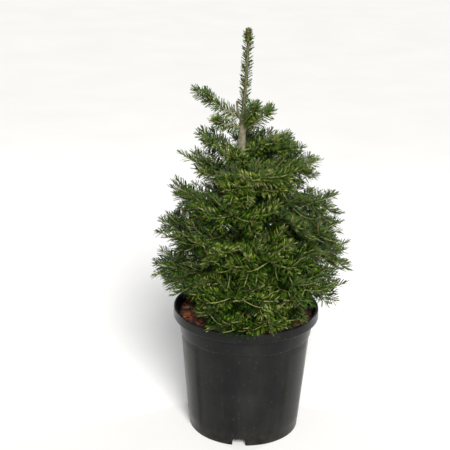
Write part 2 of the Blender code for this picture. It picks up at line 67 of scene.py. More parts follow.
FLOOR_THICKNESS = 0.004
FOOT_WIDTH = 0.0042
PAD_RADIUS = 0.030
NOTCH_COUNT = 4
NOTCH_WIDTH = 0.031
NOTCH_TOP_WIDTH = 0.027
NOTCH_HEIGHT = 0.0165
NOTCH_DEPTH = 0.010
NOTCH_BELOW = 0.004
LIP = 0.0015
MOULD_EDGE = 0.0008
EASE_LIMIT = 0.45
EASE_STEPS = (0.0, 0.25, 0.5, 0.75, 1.0)
LONGEST_RUN = 0.009
RIB_FADE = 0.009
BLACK = (0.0050, 0.0054, 0.0056)
DUST = (0.022, 0.022, 0.020)
DRIED_DROP = (0.040, 0.038, 0.034)
SOIL_SPLASH = (0.034, 0.026, 0.018)
SPLASH_HEIGHT = 0.045
DUST_SHARE = 0.32
DROP_SHARE = 0.35
SPLASH_SHARE = 0.5
DROP_SMOOTHNESS = 0.3
DROP_RELIEF = 0.6
PLASTIC_RELIEF = (0.35, 0.00025)
GRAIN_SHARE = 0.25


def smooth_step(value):
    """Ease from 0 to 1, for a number or an array."""
    value = np.clip(value, 0.0, 1.0)
    return value * value * (3.0 - 2.0 * value)


def outward(azimuth):
    """Level direction away from the axis at an azimuth."""
    angle = math.radians(azimuth)
    return Vector((math.sin(angle), -math.cos(angle), 0.0))


def unit(rows):
    """Each row at length one."""
    return rows / np.linalg.norm(rows, axis=-1, keepdims=True)


def ring_directions(sides):
    """Level directions all round the axis, as an array."""
    angles = np.arange(sides) * 2.0 * math.pi / sides
    return np.stack([np.sin(angles), -np.cos(angles), np.zeros(sides)], axis=1)


def skin(rings):
    """Points and triangles of a closed skin through a stack of rings, with a middle point at each end."""
    count, sides, _ = rings.shape
    ends = np.array([rings[0].mean(axis=0), rings[-1].mean(axis=0)])
    points = np.concatenate([rings.reshape(-1, 3), ends])
    index = np.arange(count * sides).reshape(count, sides)
    after = np.roll(index, -1, axis=1)
    first = np.full(sides, count * sides)
    triangles = [
        np.stack([index[:-1], after[:-1], after[1:]], axis=-1).reshape(-1, 3),
        np.stack([index[:-1], after[1:], index[1:]], axis=-1).reshape(-1, 3),
        np.stack([first, after[0], index[0]], axis=-1),
        np.stack([first + 1, index[-1], after[-1]], axis=-1),
    ]
    return points, np.concatenate(triangles)


def join(parts):
    """One set of points and triangles from many."""
    starts = np.cumsum([0] + [len(points) for points, _ in parts[:-1]])
    points = np.concatenate([part[0] for part in parts])
    triangles = np.concatenate([part[1] + start for part, start in zip(parts, starts)])
    return points, triangles


def mesh_of(name, points, triangles):
    """A mesh made straight from arrays."""
    mesh = bpy.data.meshes.new(name)
    mesh.vertices.add(len(points))
    mesh.vertices.foreach_set("co", points.astype(np.float32).ravel())
    mesh.loops.add(triangles.size)
    mesh.loops.foreach_set("vertex_index", triangles.astype(np.int32).ravel())
    mesh.polygons.add(len(triangles))
    mesh.polygons.foreach_set("loop_start", np.arange(0, triangles.size, 3, dtype=np.int32))
    mesh.update(calc_edges=True)
    return mesh


def place_object(name, data):
    """An object of the scene."""
    item = bpy.data.objects.new(name, data)
    bpy.context.scene.collection.objects.link(item)
    return item


def add_piece(name, mesh, finishes, nodes=(), smooth_angle=None, shares=None):
    """Put a mesh in the scene as a piece of the tree; shares gives the number of each face's finish."""
    for finish in finishes:
        mesh.materials.append(finish)
    if shares is not None:
        mesh.polygons.foreach_set("material_index", shares.astype(np.int32))
    if smooth_angle is not None:
        mesh.shade_smooth()
        mesh.set_sharp_from_angle(angle=math.radians(smooth_angle))
    piece = place_object(name, mesh)
    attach(piece, "root")
    if nodes:
        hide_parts(*nodes)


def put(tree, socket, value):
    """Link a socket to another one, or set its own value."""
    if isinstance(value, bpy.types.NodeSocket):
        tree.links.new(value, socket)
    elif socket.type == "RGBA" and len(value) == 3:
        socket.default_value = (*value, 1.0)
    else:
        socket.default_value = value


def add_node(tree, kind, inputs, **settings):
    """A shader node with its settings, and its inputs by name."""
    node = tree.nodes.new("ShaderNode" + kind)
    for key, value in settings.items():
        setattr(node, key, value)
    for key, value in inputs.items():
        put(tree, node.inputs[key], value)
    return node


def mixed(tree, factor, first, second, blend="MIX"):
    """A colour between two others."""
    node = add_node(tree, "Mix", {}, data_type="RGBA", blend_type=blend)
    sockets = [socket for socket in node.inputs if socket.enabled]
    for socket, value in zip(sockets, (factor, first, second)):
        put(tree, socket, value)
    return next(socket for socket in node.outputs if socket.enabled)


def sums(tree, operation, first, second):
    """The sum, difference or product of two numbers."""
    node = tree.nodes.new("ShaderNodeMath")
    node.operation = operation
    put(tree, node.inputs[0], first)
    put(tree, node.inputs[1], second)
    return node.outputs[0]


def times(tree, first, second):
    """The product of two numbers."""
    return sums(tree, "MULTIPLY", first, second)


def between(tree, value, low, high, start=0.0, end=1.0):
    """A value carried from one range to another, and held there."""
    inputs = {"Value": value, "From Min": low, "From Max": high, "To Min": start, "To Max": end}
    return add_node(tree, "MapRange", inputs).outputs["Result"]


def new_finish(name, **values):
    """A material with its node tree and Principled shader; values set the shader's own sockets."""
    finish = bpy.data.materials.new(name)
    finish.use_nodes = True
    shader = finish.node_tree.nodes["Principled BSDF"]
    for key, value in values.items():
        put(finish.node_tree, shader.inputs[key.replace("_", " ")], value)
    return finish, finish.node_tree, shader


def bumped(tree, shader, height, strength, distance):
    """Fine relief from a height, with its strength and its depth in metres."""
    inputs = {"Height": height, "Strength": strength, "Distance": distance}
    put(tree, shader.inputs["Normal"], add_node(tree, "Bump", inputs).outputs["Normal"])


def make_mottling():
    """Group: patches with a fine grain over them, for dust, bark, chips, buds and floor."""
    group = bpy.data.node_groups.new("mottling", "ShaderNodeTree")
    group.interface.new_socket("Vector", in_out="INPUT", socket_type="NodeSocketVector")
    for name in ("Patch Scale", "Grain Scale", "Low", "High"):
        group.interface.new_socket(name, in_out="INPUT", socket_type="NodeSocketFloat")
    for name in ("Mask", "Grain"):
        group.interface.new_socket(name, in_out="OUTPUT", socket_type="NodeSocketFloat")
    enter = group.nodes.new("NodeGroupInput").outputs
    leave = group.nodes.new("NodeGroupOutput").inputs
    noises = []
    for scale, detail in (("Patch Scale", 5.0), ("Grain Scale", 3.0)):
        inputs = {"Vector": enter["Vector"], "Scale": enter[scale], "Detail": detail}
        noises.append(add_node(group, "TexNoise", inputs).outputs[0])
    patch, grain = noises
    both = sums(group, "ADD", times(group, patch, 1.0 - GRAIN_SHARE), times(group, grain, GRAIN_SHARE))
    put(group, leave["Mask"], between(group, both, enter["Low"], enter["High"]))
    put(group, leave["Grain"], grain)
    return group


MOTTLING = make_mottling()


def mottled(tree, vector, patch, grain, low, high):
    """The mask and grain of the mottling group, from its scales and the noise where patches start and end."""
    inputs = {"Vector": vector, "Patch Scale": patch, "Grain Scale": grain, "Low": low, "High": high}
    node = add_node(tree, "Group", inputs, node_tree=MOTTLING)
    return node.outputs["Mask"], node.outputs["Grain"]


def stretched(tree, rise_scale=1.0):
    """Object coordinates, finer or coarser along Z."""
    place = add_node(tree, "TexCoord", {}).outputs["Object"]
    return add_node(tree, "Mapping", {"Vector": place, "Scale": (1.0, 1.0, rise_scale)}).outputs["Vector"]


def mottled_finish(name, roughness, dark, light, mottling, rise_scale=1.0, relief=None):
    """A finish mottled in two colours; relief gives the strength and the depth of its grain."""
    finish, tree, shader = new_finish(name, Roughness=roughness)
    mask, grain = mottled(tree, stretched(tree, rise_scale), *mottling)
    put(tree, shader.inputs["Base Color"], mixed(tree, mask, dark, light))
    if relief:
        bumped(tree, shader, grain, *relief)
    return finish


def wall_radius(height):
    """Outer radius of the pot's plain wall below the collar."""
    if height <= SHOULDER_HEIGHT:
        return BASE_RADIUS + (SHOULDER_RADIUS - BASE_RADIUS) * height / SHOULDER_HEIGHT
    share = (height - SHOULDER_HEIGHT) / (POT_HEIGHT - COLLAR_DEPTH - SHOULDER_HEIGHT)
    return SHOULDER_RADIUS + (NECK_RADIUS - SHOULDER_RADIUS) * min(share, 1.0)


def inner_radius(height):
    """Inner radius of the pot, and of the bark that fills it."""
    return wall_radius(height) - WALL


def eased(corners):
    """A section through corners of (radius, height, easing), rounded at them and with long runs divided."""
    places = [Vector(corner[:2]) for corner in corners]
    rounds = [[places[0]]]
    for before, place, after, corner in zip(places, places[1:], places[2:], corners[1:]):
        ease = min(corner[2], EASE_LIMIT * (before - place).length, EASE_LIMIT * (after - place).length)
        start = place + (before - place).normalized() * ease
        end = place + (after - place).normalized() * ease
        rounds.append([start.lerp(place, step).lerp(place.lerp(end, step), step) for step in EASE_STEPS])
    rounds.append([places[-1]])
    points = list(rounds[0])
    for arc in rounds[1:]:
        run = arc[0] - points[-1]
        pieces = math.ceil(run.length / LONGEST_RUN)
        points += [points[-1] + run * (index / pieces) for index in range(1, pieces)]
        points += arc
    return np.array(points)


def rib_lifts(azimuths, heights):
    """How far the ribs stand out of the pot's body, by height and azimuth."""
    step = 360.0 / RIB_COUNT
    away = np.abs((azimuths - RIB_FIRST_AZIMUTH + step / 2.0) % step - step / 2.0)
    across = smooth_step((RIB_HALF_ANGLE - away) / RIB_FLANK_ANGLE)
    foot = smooth_step((heights - NOTCH_HEIGHT) / NOTCH_HEIGHT)
    head = smooth_step((SHOULDER_HEIGHT - SHOULDER_STEP - heights) / RIB_FADE)
    return RIB_HEIGHT * across[None, :] * (foot * head)[:, None]


def notch_block(azimuth):
    """The block that cuts one drain notch out of the foot, narrower at its top."""
    away, aside = np.array(outward(azimuth)), np.array(outward(azimuth + 90.0))
    middle = away * (BASE_RADIUS - FOOT_WIDTH / 2.0)
    low, high = (NOTCH_WIDTH, -NOTCH_BELOW), (NOTCH_TOP_WIDTH, NOTCH_HEIGHT)
    loop = [middle + aside * side * width / 2.0 + np.array((0.0, 0.0, height))
            for side, (width, height) in ((-1.0, low), (1.0, low), (1.0, high), (-1.0, high))]
    return skin(np.array([[point + away * reach for point in loop] for reach in (-NOTCH_DEPTH, NOTCH_DEPTH)]))


def make_pot():
    """The turned wall with its ribs, then the four notches cut from the foot."""
    collar_foot = POT_HEIGHT - COLLAR_DEPTH
    floor_top = FLOOR_RAISE + FLOOR_THICKNESS
    foot_inner = BASE_RADIUS - FOOT_WIDTH
    collar_inner = COLLAR_RADIUS - COLLAR_WIDTH
    wide_edge = MOULD_EDGE * 2.0
    section = eased([
        (PAD_RADIUS / 2.0, 0.0, 0.0),
        (PAD_RADIUS, 0.0, MOULD_EDGE),
        (PAD_RADIUS + LIP, FLOOR_RAISE, wide_edge),
        (foot_inner, FLOOR_RAISE, wide_edge),
        (foot_inner, 0.0, MOULD_EDGE),
        (BASE_RADIUS, 0.0, wide_edge),
        (SHOULDER_RADIUS - SHOULDER_STEP, SHOULDER_HEIGHT - SHOULDER_STEP, MOULD_EDGE),
        (SHOULDER_RADIUS + SHOULDER_STEP, SHOULDER_HEIGHT + SHOULDER_STEP, MOULD_EDGE),
        (NECK_RADIUS, collar_foot, MOULD_EDGE),
        (COLLAR_RADIUS - LIP, collar_foot, MOULD_EDGE),
        (COLLAR_RADIUS, collar_foot + LIP, MOULD_EDGE),
        (COLLAR_RADIUS - LIP / 2.0, POT_HEIGHT - LIP, wide_edge),
        (COLLAR_RADIUS - LIP * 2.0, POT_HEIGHT, wide_edge),
        (collar_inner, POT_HEIGHT, wide_edge),
        (collar_inner - LIP, POT_HEIGHT - 2.0 * LIP, MOULD_EDGE),
        (inner_radius(collar_foot), collar_foot, MOULD_EDGE),
        (inner_radius(SHOULDER_HEIGHT), SHOULDER_HEIGHT, MOULD_EDGE),
        (inner_radius(floor_top), floor_top, MOULD_EDGE),
        (PAD_RADIUS, floor_top, 0.0),
    ])
    radii, heights = section[:, 0], section[:, 1]
    on_wall = np.array([radius > wall_radius(height) - WALL / 2.0 for radius, height in section])
    azimuths = np.arange(POT_SIDES) * 360.0 / POT_SIDES
    reach = radii[:, None] + rib_lifts(azimuths, heights) * on_wall[:, None]
    rings = ring_directions(POT_SIDES)[None, :, :] * reach[:, :, None]
    rings[:, :, 2] = heights[:, None]
    blocks = [notch_block(RIB_FIRST_AZIMUTH + index * 360.0 / NOTCH_COUNT) for index in range(NOTCH_COUNT)]
    pot = place_object("pot_cutting", mesh_of("pot_cutting", *skin(rings)))
    cutter = place_object("notches", mesh_of("notches", *join(blocks)))
    boolean = pot.modifiers.new("notches", "BOOLEAN")
    boolean.operation = "DIFFERENCE"
    boolean.solver = "EXACT"
    boolean.object = cutter
    bpy.context.view_layer.update()
    cut = bpy.data.meshes.new_from_object(pot.evaluated_get(bpy.context.evaluated_depsgraph_get()))
    for helper in (pot, cutter):
        bpy.data.objects.remove(helper, do_unlink=True)
    return cut


def make_pot_finish():
    """Black plastic with a fine grain, a film of dust in streaks, dried drops and soil at the foot."""
    finish, tree, shader = new_finish("black_pot_plastic", Specular_IOR_Level=0.16)
    place = stretched(tree)
    streaks, _ = mottled(tree, stretched(tree, 0.16), 26.0, 150.0, 0.46, 0.72)
    patches, grain = mottled(tree, place, 14.0, 900.0, 0.42, 0.66)
    dust = times(tree, sums(tree, "ADD", streaks, patches), DUST_SHARE)
    drops = add_node(tree, "TexVoronoi", {"Vector": place, "Scale": 85.0, "Randomness": 1.0})
    drop_number = add_node(tree, "SeparateColor", {"Color": drops.outputs["Color"]}).outputs[0]
    some_drops = between(tree, drop_number, 0.62, 0.66)
    spots = times(tree, between(tree, drops.outputs["Distance"], 0.26, 0.14), some_drops)
    height = add_node(tree, "SeparateXYZ", {"Vector": place}).outputs["Z"]
    splash, _ = mottled(tree, place, 60.0, 400.0, 0.44, 0.58)
    foot = times(tree, between(tree, height, SPLASH_HEIGHT, 0.0), splash)
    colour = mixed(tree, dust, BLACK, DUST)
    colour = mixed(tree, times(tree, spots, DROP_SHARE), colour, DRIED_DROP)
    colour = mixed(tree, times(tree, foot, SPLASH_SHARE), colour, SOIL_SPLASH)
    put(tree, shader.inputs["Base Color"], colour)
    dullness = sums(tree, "SUBTRACT", dust, times(tree, spots, DROP_SMOOTHNESS))
    put(tree, shader.inputs["Roughness"], between(tree, dullness, -0.3, 0.6, 0.14, 0.42))
    bumped(tree, shader, sums(tree, "ADD", grain, times(tree, spots, DROP_RELIEF)), *PLASTIC_RELIEF)
    return finish


add_piece("pot_moulding", make_pot(), [make_pot_finish()], ["pot"], smooth_angle=30.0)


# The potting bark
# Damp composted bark and peat, tipped in by machine and settled just under the collar. The top is a loose bed
# of red-brown conifer bark chips, flat slivers from a few millimetres to two centimetres long. The bed is one
# closed body with an uneven top, and each chip is a warped block of its own.
SOIL_TOP = 0.270
CLEARANCE = 0.0004
SEED = 417
CHIP_COUNT = 1900
CHIP_LENGTHS = (0.006, 0.022)
SHORT_CHIPS = 2.2
CHIP_WIDTHS = (0.25, 0.6)
CHIP_THICKNESSES = (0.10, 0.26)
CHIP_HEAP = 0.003
CHIP_WARP = 0.2
CHIP_LIES = (0.32, 0.25)
CHIP_MOTTLING = (90.0, 700.0, 0.36, 0.62)
CHIP_RISE_SCALE = 2.5
CHIP_RELIEF = (0.7, 0.0006)
TRUNK_SEAT = 0.020
BED_SINK = 0.003
BED_ROUGHNESS = 0.0035
BED_SWELL = (30.0, 1.7, 0.7)
BED_GRAIN = (160.0, 5.1, 0.5)
BED_RINGS = 26
BED_SIDES = 96


def bed_height(place):
    """Height of the settled bed at a place; level where the trunk stands."""
    reach = math.hypot(place[0], place[1])
    settled = float(smooth_step((reach - TRUNK_SEAT) / TRUNK_SEAT))
    swell, fine = (share * noise.noise(Vector((place[0] * scale, place[1] * scale, layer)))
                   for scale, layer, share in (BED_SWELL, BED_GRAIN))
    return SOIL_TOP - BED_SINK * settled + BED_ROUGHNESS * settled * (swell + fine)


def make_bed():
    """The body of the root ball, hidden by the pot, and its uneven top."""
    foot = FLOOR_RAISE + FLOOR_THICKNESS + CLEARANCE
    edge = inner_radius(SOIL_TOP) - CLEARANCE
    directions = ring_directions(BED_SIDES)
    rings = [directions * (inner_radius(height) - CLEARANCE) + np.array((0.0, 0.0, height))
             for height in (foot, SHOULDER_HEIGHT)]
    for index in range(BED_RINGS):
        ring = directions * edge * (1.0 - index / BED_RINGS)
        ring[:, 2] = [bed_height(point) for point in ring]
        rings.append(ring)
    return mesh_of("potting_bed", *skin(np.array(rings)))


def make_chips(draw, count):
    """Loose slivers of bark, each a bent block with its own size and lie."""
    corners = ((-0.5, -0.5), (0.5, -0.5), (0.5, 0.5), (-0.5, 0.5))
    block = np.array([(x, y, z) for z in (-0.5, 0.5) for x, y in corners])
    parts = []
    edge = inner_radius(SOIL_TOP) - CLEARANCE
    for _ in range(count):
        length = CHIP_LENGTHS[0] + (CHIP_LENGTHS[1] - CHIP_LENGTHS[0]) * draw.random() ** SHORT_CHIPS
        size = np.array((1.0, draw.uniform(*CHIP_WIDTHS), draw.uniform(*CHIP_THICKNESSES))) * length
        reach = math.sqrt(draw.uniform(TRUNK_SEAT ** 2, (edge - length * 0.5) ** 2))
        place = outward(draw.uniform(0.0, 360.0)) * reach
        place.z = bed_height(place) + draw.uniform(0.0, CHIP_HEAP)
        warp = np.array([[draw.uniform(-CHIP_WARP, CHIP_WARP) for _ in range(3)] for _ in block])
        turn = Matrix.Rotation(draw.uniform(0.0, 2.0 * math.pi), 3, "Z")
        roll, pitch = (Matrix.Rotation(draw.gauss(0.0, lie), 3, axis) for lie, axis in zip(CHIP_LIES, "XY"))
        points = (block * size + warp * size) @ np.array(turn @ (roll @ pitch)).T + np.array(place)
        parts.append(skin(points.reshape(2, 4, 3)))
    return parts


chip_finishes = [
    mottled_finish(name, roughness, dark, light, CHIP_MOTTLING, CHIP_RISE_SCALE, CHIP_RELIEF)
    for name, roughness, dark, light in (
        ("rust_bark_chips", 0.8, (0.10, 0.022, 0.008), (0.30, 0.085, 0.030)),
        ("dark_bark_chips", 0.7, (0.018, 0.009, 0.006), (0.075, 0.030, 0.016)),
        ("tan_bark_chips", 0.85, (0.14, 0.060, 0.026), (0.36, 0.20, 0.10)),
        ("wet_peat", 0.75, (0.010, 0.006, 0.004), (0.060, 0.026, 0.014)),
    )
]
bed_finish = chip_finishes.pop()
add_piece("potting_bed", make_bed(), [bed_finish], ["potting_bark"], smooth_angle=60.0)
chip_draw = random.Random(SEED)
chips = make_chips(chip_draw, CHIP_COUNT)
chip_kinds = chip_draw.choices((0, 1, 2), weights=(5, 5, 1), k=CHIP_COUNT)
chip_shares = np.repeat(chip_kinds, len(chips[0][1]))
chip_mesh = mesh_of("bark_chips", *join(chips))
add_piece("bark_chips", chip_mesh, chip_finishes, shares=chip_shares)


# The trunk
# One stem of young fir, flared at the root, leaning to the left and straightening into this year's leader.
# Its bark is smooth and grey-tan, with resin blisters and old leaf scars, and a collar swells round the foot
# of each bough. It is one skin of rings with its relief worked out at each point.
TREE_TOP = 0.893
FLARE_RADIUS = 0.0185
FLARE_HEIGHT = 0.030
TRUNK_FOOT_RADIUS = 0.0118
WHORL_RADIUS = 0.0070
LEADER_START = 0.700
LEADER_RADIUS = 0.0042
LEADER_TIP_RADIUS = 0.0026
LEAN_HEIGHT = 0.620
LEAN_OFFSET = -0.018
TIP_OFFSET = -0.0087
TRUNK_SIDES = 40
TRUNK_RINGS = 300
COLLAR_SWELL = 0.0016
COLLAR_SPREAD = 0.0065
RIDGE_COUNT = 5.0
RIDGE_TURN = 0.7
RIDGE_HEIGHT = 0.0022
TIP_FADE = 0.004
TIP_SHARE = 0.35
# Relief of bark on the trunk and on the boughs: depth, scale and stretch along Z
BLISTERS = (0.0007, 90.0, 2.0)
SCARS = (0.0004, 420.0, 0.45)
BOUGH_BUMPS = (0.0005, 240.0, 1.0)
BOUGH_SCARS = (0.0003, 700.0, 1.0)
BARK_PATCHES = (0.38, 0.60)
LENTICELS = (0.56, 0.64)
LENTICEL_SCALE = 0.4
LENTICEL_RISE_SCALE = 3.5
LENTICEL_SHARE = 0.6
BARK_RELIEF = (0.6, 0.0005)
UP = Vector((0.0, 0.0, 1.0))

# Each whorl of boughs: name, height on the trunk, height of its tips, the azimuths of its boughs
WHORLS = (
    ("low", 0.318, 0.328, (-98, -34, 18, 84, 168)),
    ("lower", 0.368, 0.394, (-78, -8, 46, 98, 196)),
    ("middle", 0.430, 0.462, (-97, -40, 16, 84, 160)),
    ("upper", 0.498, 0.540, (-82, -14, 88, 182)),
    ("high", 0.566, 0.618, (-95, 16, 84, 150)),
)
# The youngest whorls: azimuth, height on the trunk, reach and tip height of each shoot
YOUNG_WHORLS = (
    ("top", ((-95, 0.708, 0.122, 0.765), (-58, 0.690, 0.096, 0.716), (14, 0.698, 0.052, 0.748),
             (78, 0.684, 0.056, 0.738), (168, 0.688, 0.075, 0.705))),
    ("second", ((-82, 0.638, 0.113, 0.677), (-22, 0.626, 0.100, 0.650), (62, 0.639, 0.084, 0.680),
                (98, 0.630, 0.120, 0.655), (178, 0.624, 0.110, 0.655))),
)
LIMB_KINDS = {"top": "rod", "second": "young"}
# How far the foliage reaches from the pot's axis, on the left and on the right, by height
LEFT_REACH = ((0.280, 0.172), (0.310, 0.188), (0.350, 0.196), (0.455, 0.200), (0.510, 0.168),
              (0.580, 0.156), (0.640, 0.149), (0.680, 0.116), (0.715, 0.100), (0.765, 0.125), (0.790, 0.110))
RIGHT_REACH = ((0.280, 0.180), (0.318, 0.213), (0.410, 0.229), (0.480, 0.203), (0.540, 0.192),
               (0.575, 0.172), (0.624, 0.146), (0.665, 0.104), (0.690, 0.074), (0.740, 0.056), (0.790, 0.040))
TIP_SWING = 0.009
FRONT_DROOP = 0.020
DROOPING = ("low", "lower")
SIDE_LIFT = 0.014
TIP_JITTER = 0.004
ROOT_JITTER = 0.006
SPRAY_MARGIN = 0.006
BOUGH_RADIUS = 0.0042
SLIM_SHARE = 0.72
LONG_REACH = 0.200
BOUGH_TAPER = 0.55
YOUNG_RADIUS = 0.0026
LEVEL_RISE = 0.050
LEVEL_SAG = 0.07
RISING_SAG = 0.02
BOUGH_SHARE = 0.27
STEM_END_SHARE = 0.80
TWIG_RADIUS = 0.0011


def blend(table, height):
    """Read a table of (height, value) pairs between its points."""
    return float(np.interp(height, [row[0] for row in table], [row[1] for row in table]))


def crown_reach(height, azimuth):
    """Radius of the crown's outline about the pot's axis."""
    share = 0.5 + 0.5 * math.sin(math.radians(azimuth))
    return (1.0 - share) * blend(LEFT_REACH, height) + share * blend(RIGHT_REACH, height)


def trunk_centre(height):
    """The trunk's axis, which leans to the left and comes back along the leader."""
    lean = LEAN_OFFSET * smooth_step((height - SOIL_TOP) / (LEAN_HEIGHT - SOIL_TOP))
    back = smooth_step((height - LEAN_HEIGHT) / (TREE_TOP - LEAN_HEIGHT))
    return Vector((float(lean + (TIP_OFFSET - LEAN_OFFSET) * back), 0.0, height))


def trunk_radius(height):
    """The trunk's taper, with its root flare and the slimmer leader."""
    rise = height - SOIL_TOP
    flare = (FLARE_RADIUS - TRUNK_FOOT_RADIUS) * (1.0 - smooth_step(rise / FLARE_HEIGHT))
    if height < LEADER_START:
        share = rise / (LEADER_START - SOIL_TOP)
        return float(flare + TRUNK_FOOT_RADIUS + (WHORL_RADIUS - TRUNK_FOOT_RADIUS) * share)
    neck = smooth_step((height - LEADER_START) / FLARE_HEIGHT)
    share = (height - LEADER_START) / (TREE_TOP - LEADER_START)
    slim = LEADER_RADIUS + (LEADER_TIP_RADIUS - LEADER_RADIUS) * share
    return float(WHORL_RADIUS + (slim - WHORL_RADIUS) * neck)


class Limb:
    """The line that a bough and the stem of its mass of needles follow."""

    def __init__(self, whorl, number, azimuth, root_height, tip_height, reach, radius):
        self.whorl = whorl
        self.kind = LIMB_KINDS.get(whorl, "old")
        self.name = f"{whorl}_{number}"
        self.azimuth = azimuth
        self.root_height = root_height
        self.radius = radius
        away = outward(azimuth)
        self.start = trunk_centre(root_height) + away * (trunk_radius(root_height) + CLEARANCE)
        self.tip = away * reach + UP * tip_height
        run = self.tip - self.start
        sag = LEVEL_SAG if tip_height - root_height < LEVEL_RISE else RISING_SAG
        self.bend = self.start + run * 0.5 - UP * (sag * run.length)
        self.length = run.length

    def point(self, share):
        """A point on the line, from 0 at the trunk to 1 at the tip."""
        rest = 1.0 - share
        return self.start * rest * rest + self.bend * 2.0 * rest * share + self.tip * share * share

    def forward(self, share):
        """The line's direction there."""
        rest = 1.0 - share
        return ((self.bend - self.start) * rest + (self.tip - self.bend) * share).normalized()

    def thickness(self, share):
        """The limb's radius there."""
        end = self.radius * BOUGH_TAPER
        if share <= BOUGH_SHARE:
            return self.radius * (1.0 - (1.0 - BOUGH_TAPER) * share / BOUGH_SHARE)
        return end + (TWIG_RADIUS - end) * (share - BOUGH_SHARE) / (STEM_END_SHARE - BOUGH_SHARE)


def plan_limbs():
    """The boughs of the older whorls, worked out from the crown's outline."""
    draw = random.Random(SEED)
    limbs = []
    for whorl, root_height, tip_height, azimuths in WHORLS:
        for number, azimuth in enumerate(azimuths, start=1):
            facing = math.cos(math.radians(azimuth))
            sideways = abs(math.sin(math.radians(azimuth)))
            hang = FRONT_DROOP * max(facing, 0.0) if whorl in DROOPING else 0.0
            swing = TIP_SWING * (-1.0) ** number
            end = tip_height + SIDE_LIFT * sideways - hang + swing + draw.uniform(-TIP_JITTER, TIP_JITTER)
            reach = crown_reach(end, azimuth) - SPRAY_MARGIN * (1.0 - sideways)
            start = root_height + draw.uniform(-ROOT_JITTER, ROOT_JITTER)
            radius = BOUGH_RADIUS * (SLIM_SHARE + (1.0 - SLIM_SHARE) * reach / LONG_REACH)
            limbs.append(Limb(whorl, number, azimuth, start, end, reach, radius))
    return limbs


def plan_young_limbs():
    """The shoots of the youngest whorls, which have needles to their foot."""
    return [Limb(whorl, number, azimuth, root_height, tip_height, reach, YOUNG_RADIUS)
            for whorl, shoots in YOUNG_WHORLS
            for number, (azimuth, root_height, reach, tip_height) in enumerate(shoots, start=1)]


def relief(points, depth, scale, stretch):
    """Smooth noise at each point, of a depth and stretched along Z."""
    values = [noise.noise(Vector((x, y, z / stretch)) * scale) for x, y, z in points.reshape(-1, 3)]
    return depth * np.array(values).reshape(points.shape[:-1])


def make_trunk(limbs):
    """The trunk's skin, with blisters, scars, flare ridges and a collar round each bough's foot."""
    rise = TREE_TOP - SOIL_TOP + CLEARANCE
    heights = SOIL_TOP - CLEARANCE + rise * np.arange(TRUNK_RINGS) / (TRUNK_RINGS - 1)
    directions = ring_directions(TRUNK_SIDES)
    centres = np.array([trunk_centre(height) for height in heights])
    radii = np.array([trunk_radius(height) for height in heights])
    rings = centres[:, None, :] + directions[None, :, :] * radii[:, None, None]
    flare = 1.0 - smooth_step((heights - SOIL_TOP) / (2.0 * FLARE_HEIGHT))
    angles = np.arange(TRUNK_SIDES) * 2.0 * math.pi / TRUNK_SIDES
    ridges = RIDGE_HEIGHT * np.cos(RIDGE_COUNT * angles + RIDGE_TURN)[None, :] * flare[:, None]
    swell = ridges + relief(rings, *BLISTERS) + np.maximum(relief(rings, *SCARS), 0.0)
    for limb in limbs:
        height = limb.root_height
        foot = np.array(trunk_centre(height) + outward(limb.azimuth) * trunk_radius(height))
        apart = np.linalg.norm(rings - foot, axis=2)
        swell += COLLAR_SWELL * np.exp(-(apart / COLLAR_SPREAD) ** 2)
    fade = smooth_step((TREE_TOP - heights) / TIP_FADE)
    reach = (radii * (TIP_SHARE + (1.0 - TIP_SHARE) * fade))[:, None] + swell
    return mesh_of("trunk_bark", *skin(centres[:, None, :] + directions[None, :, :] * reach[:, :, None]))


def make_bark_finish(name, dark, light, tip_colour, tip_heights, patch, fine):
    """Smooth young bark: pale patches on a darker ground, with lenticels, changing colour towards the tip."""
    finish, tree, shader = new_finish(name, Roughness=0.78)
    place = stretched(tree)
    mask, grain = mottled(tree, place, patch, fine, *BARK_PATCHES)
    colour = mixed(tree, mask, dark, light)
    lengthwise = stretched(tree, LENTICEL_RISE_SCALE)
    lenticels, _ = mottled(tree, lengthwise, fine * LENTICEL_SCALE, fine, *LENTICELS)
    colour = mixed(tree, times(tree, lenticels, LENTICEL_SHARE), colour, dark)
    height = add_node(tree, "SeparateXYZ", {"Vector": place}).outputs["Z"]
    colour = mixed(tree, between(tree, height, *tip_heights), colour, tip_colour)
    put(tree, shader.inputs["Base Color"], colour)
    bumped(tree, shader, grain, *BARK_RELIEF)
    return finish


old_limbs = plan_limbs()
young_limbs = plan_young_limbs()
all_limbs = old_limbs + young_limbs
trunk_finish = make_bark_finish(
    "grey_tan_bark", dark=(0.115, 0.098, 0.062), light=(0.30, 0.27, 0.185), tip_colour=(0.115, 0.105, 0.045),
    tip_heights=(0.70, 0.74), patch=60.0, fine=420.0)
add_piece("trunk_bark", make_trunk(all_limbs), [trunk_finish], ["trunk"], smooth_angle=60.0)


# The boughs
# Each bough grows straight out of the trunk from a swollen collar and tapers to where its side shoots begin.
# The bark is olive to tan, smooth between the peg-like scars that shed needles leave.
BOUGH_SIDES = 14
BOUGH_RINGS = 40
BOUGH_OVERLAP = 0.02
BOUGH_FLARE = 0.0016
FLARE_LENGTH = 0.005
BOUGH_SINK = 0.002


def rings_along(centres, forwards, radii, sides, reference=UP):
    """Rings square to a line, turned so that their first point lies level."""
    level = unit(np.cross(forwards, np.array(reference)))
    top = np.cross(level, forwards)
    turns = np.arange(sides) * 2.0 * math.pi / sides
    spokes = level[:, None, :] * np.cos(turns)[None, :, None] - top[:, None, :] * np.sin(turns)[None, :, None]
    return centres[:, None, :] + spokes * radii[:, None, None], spokes


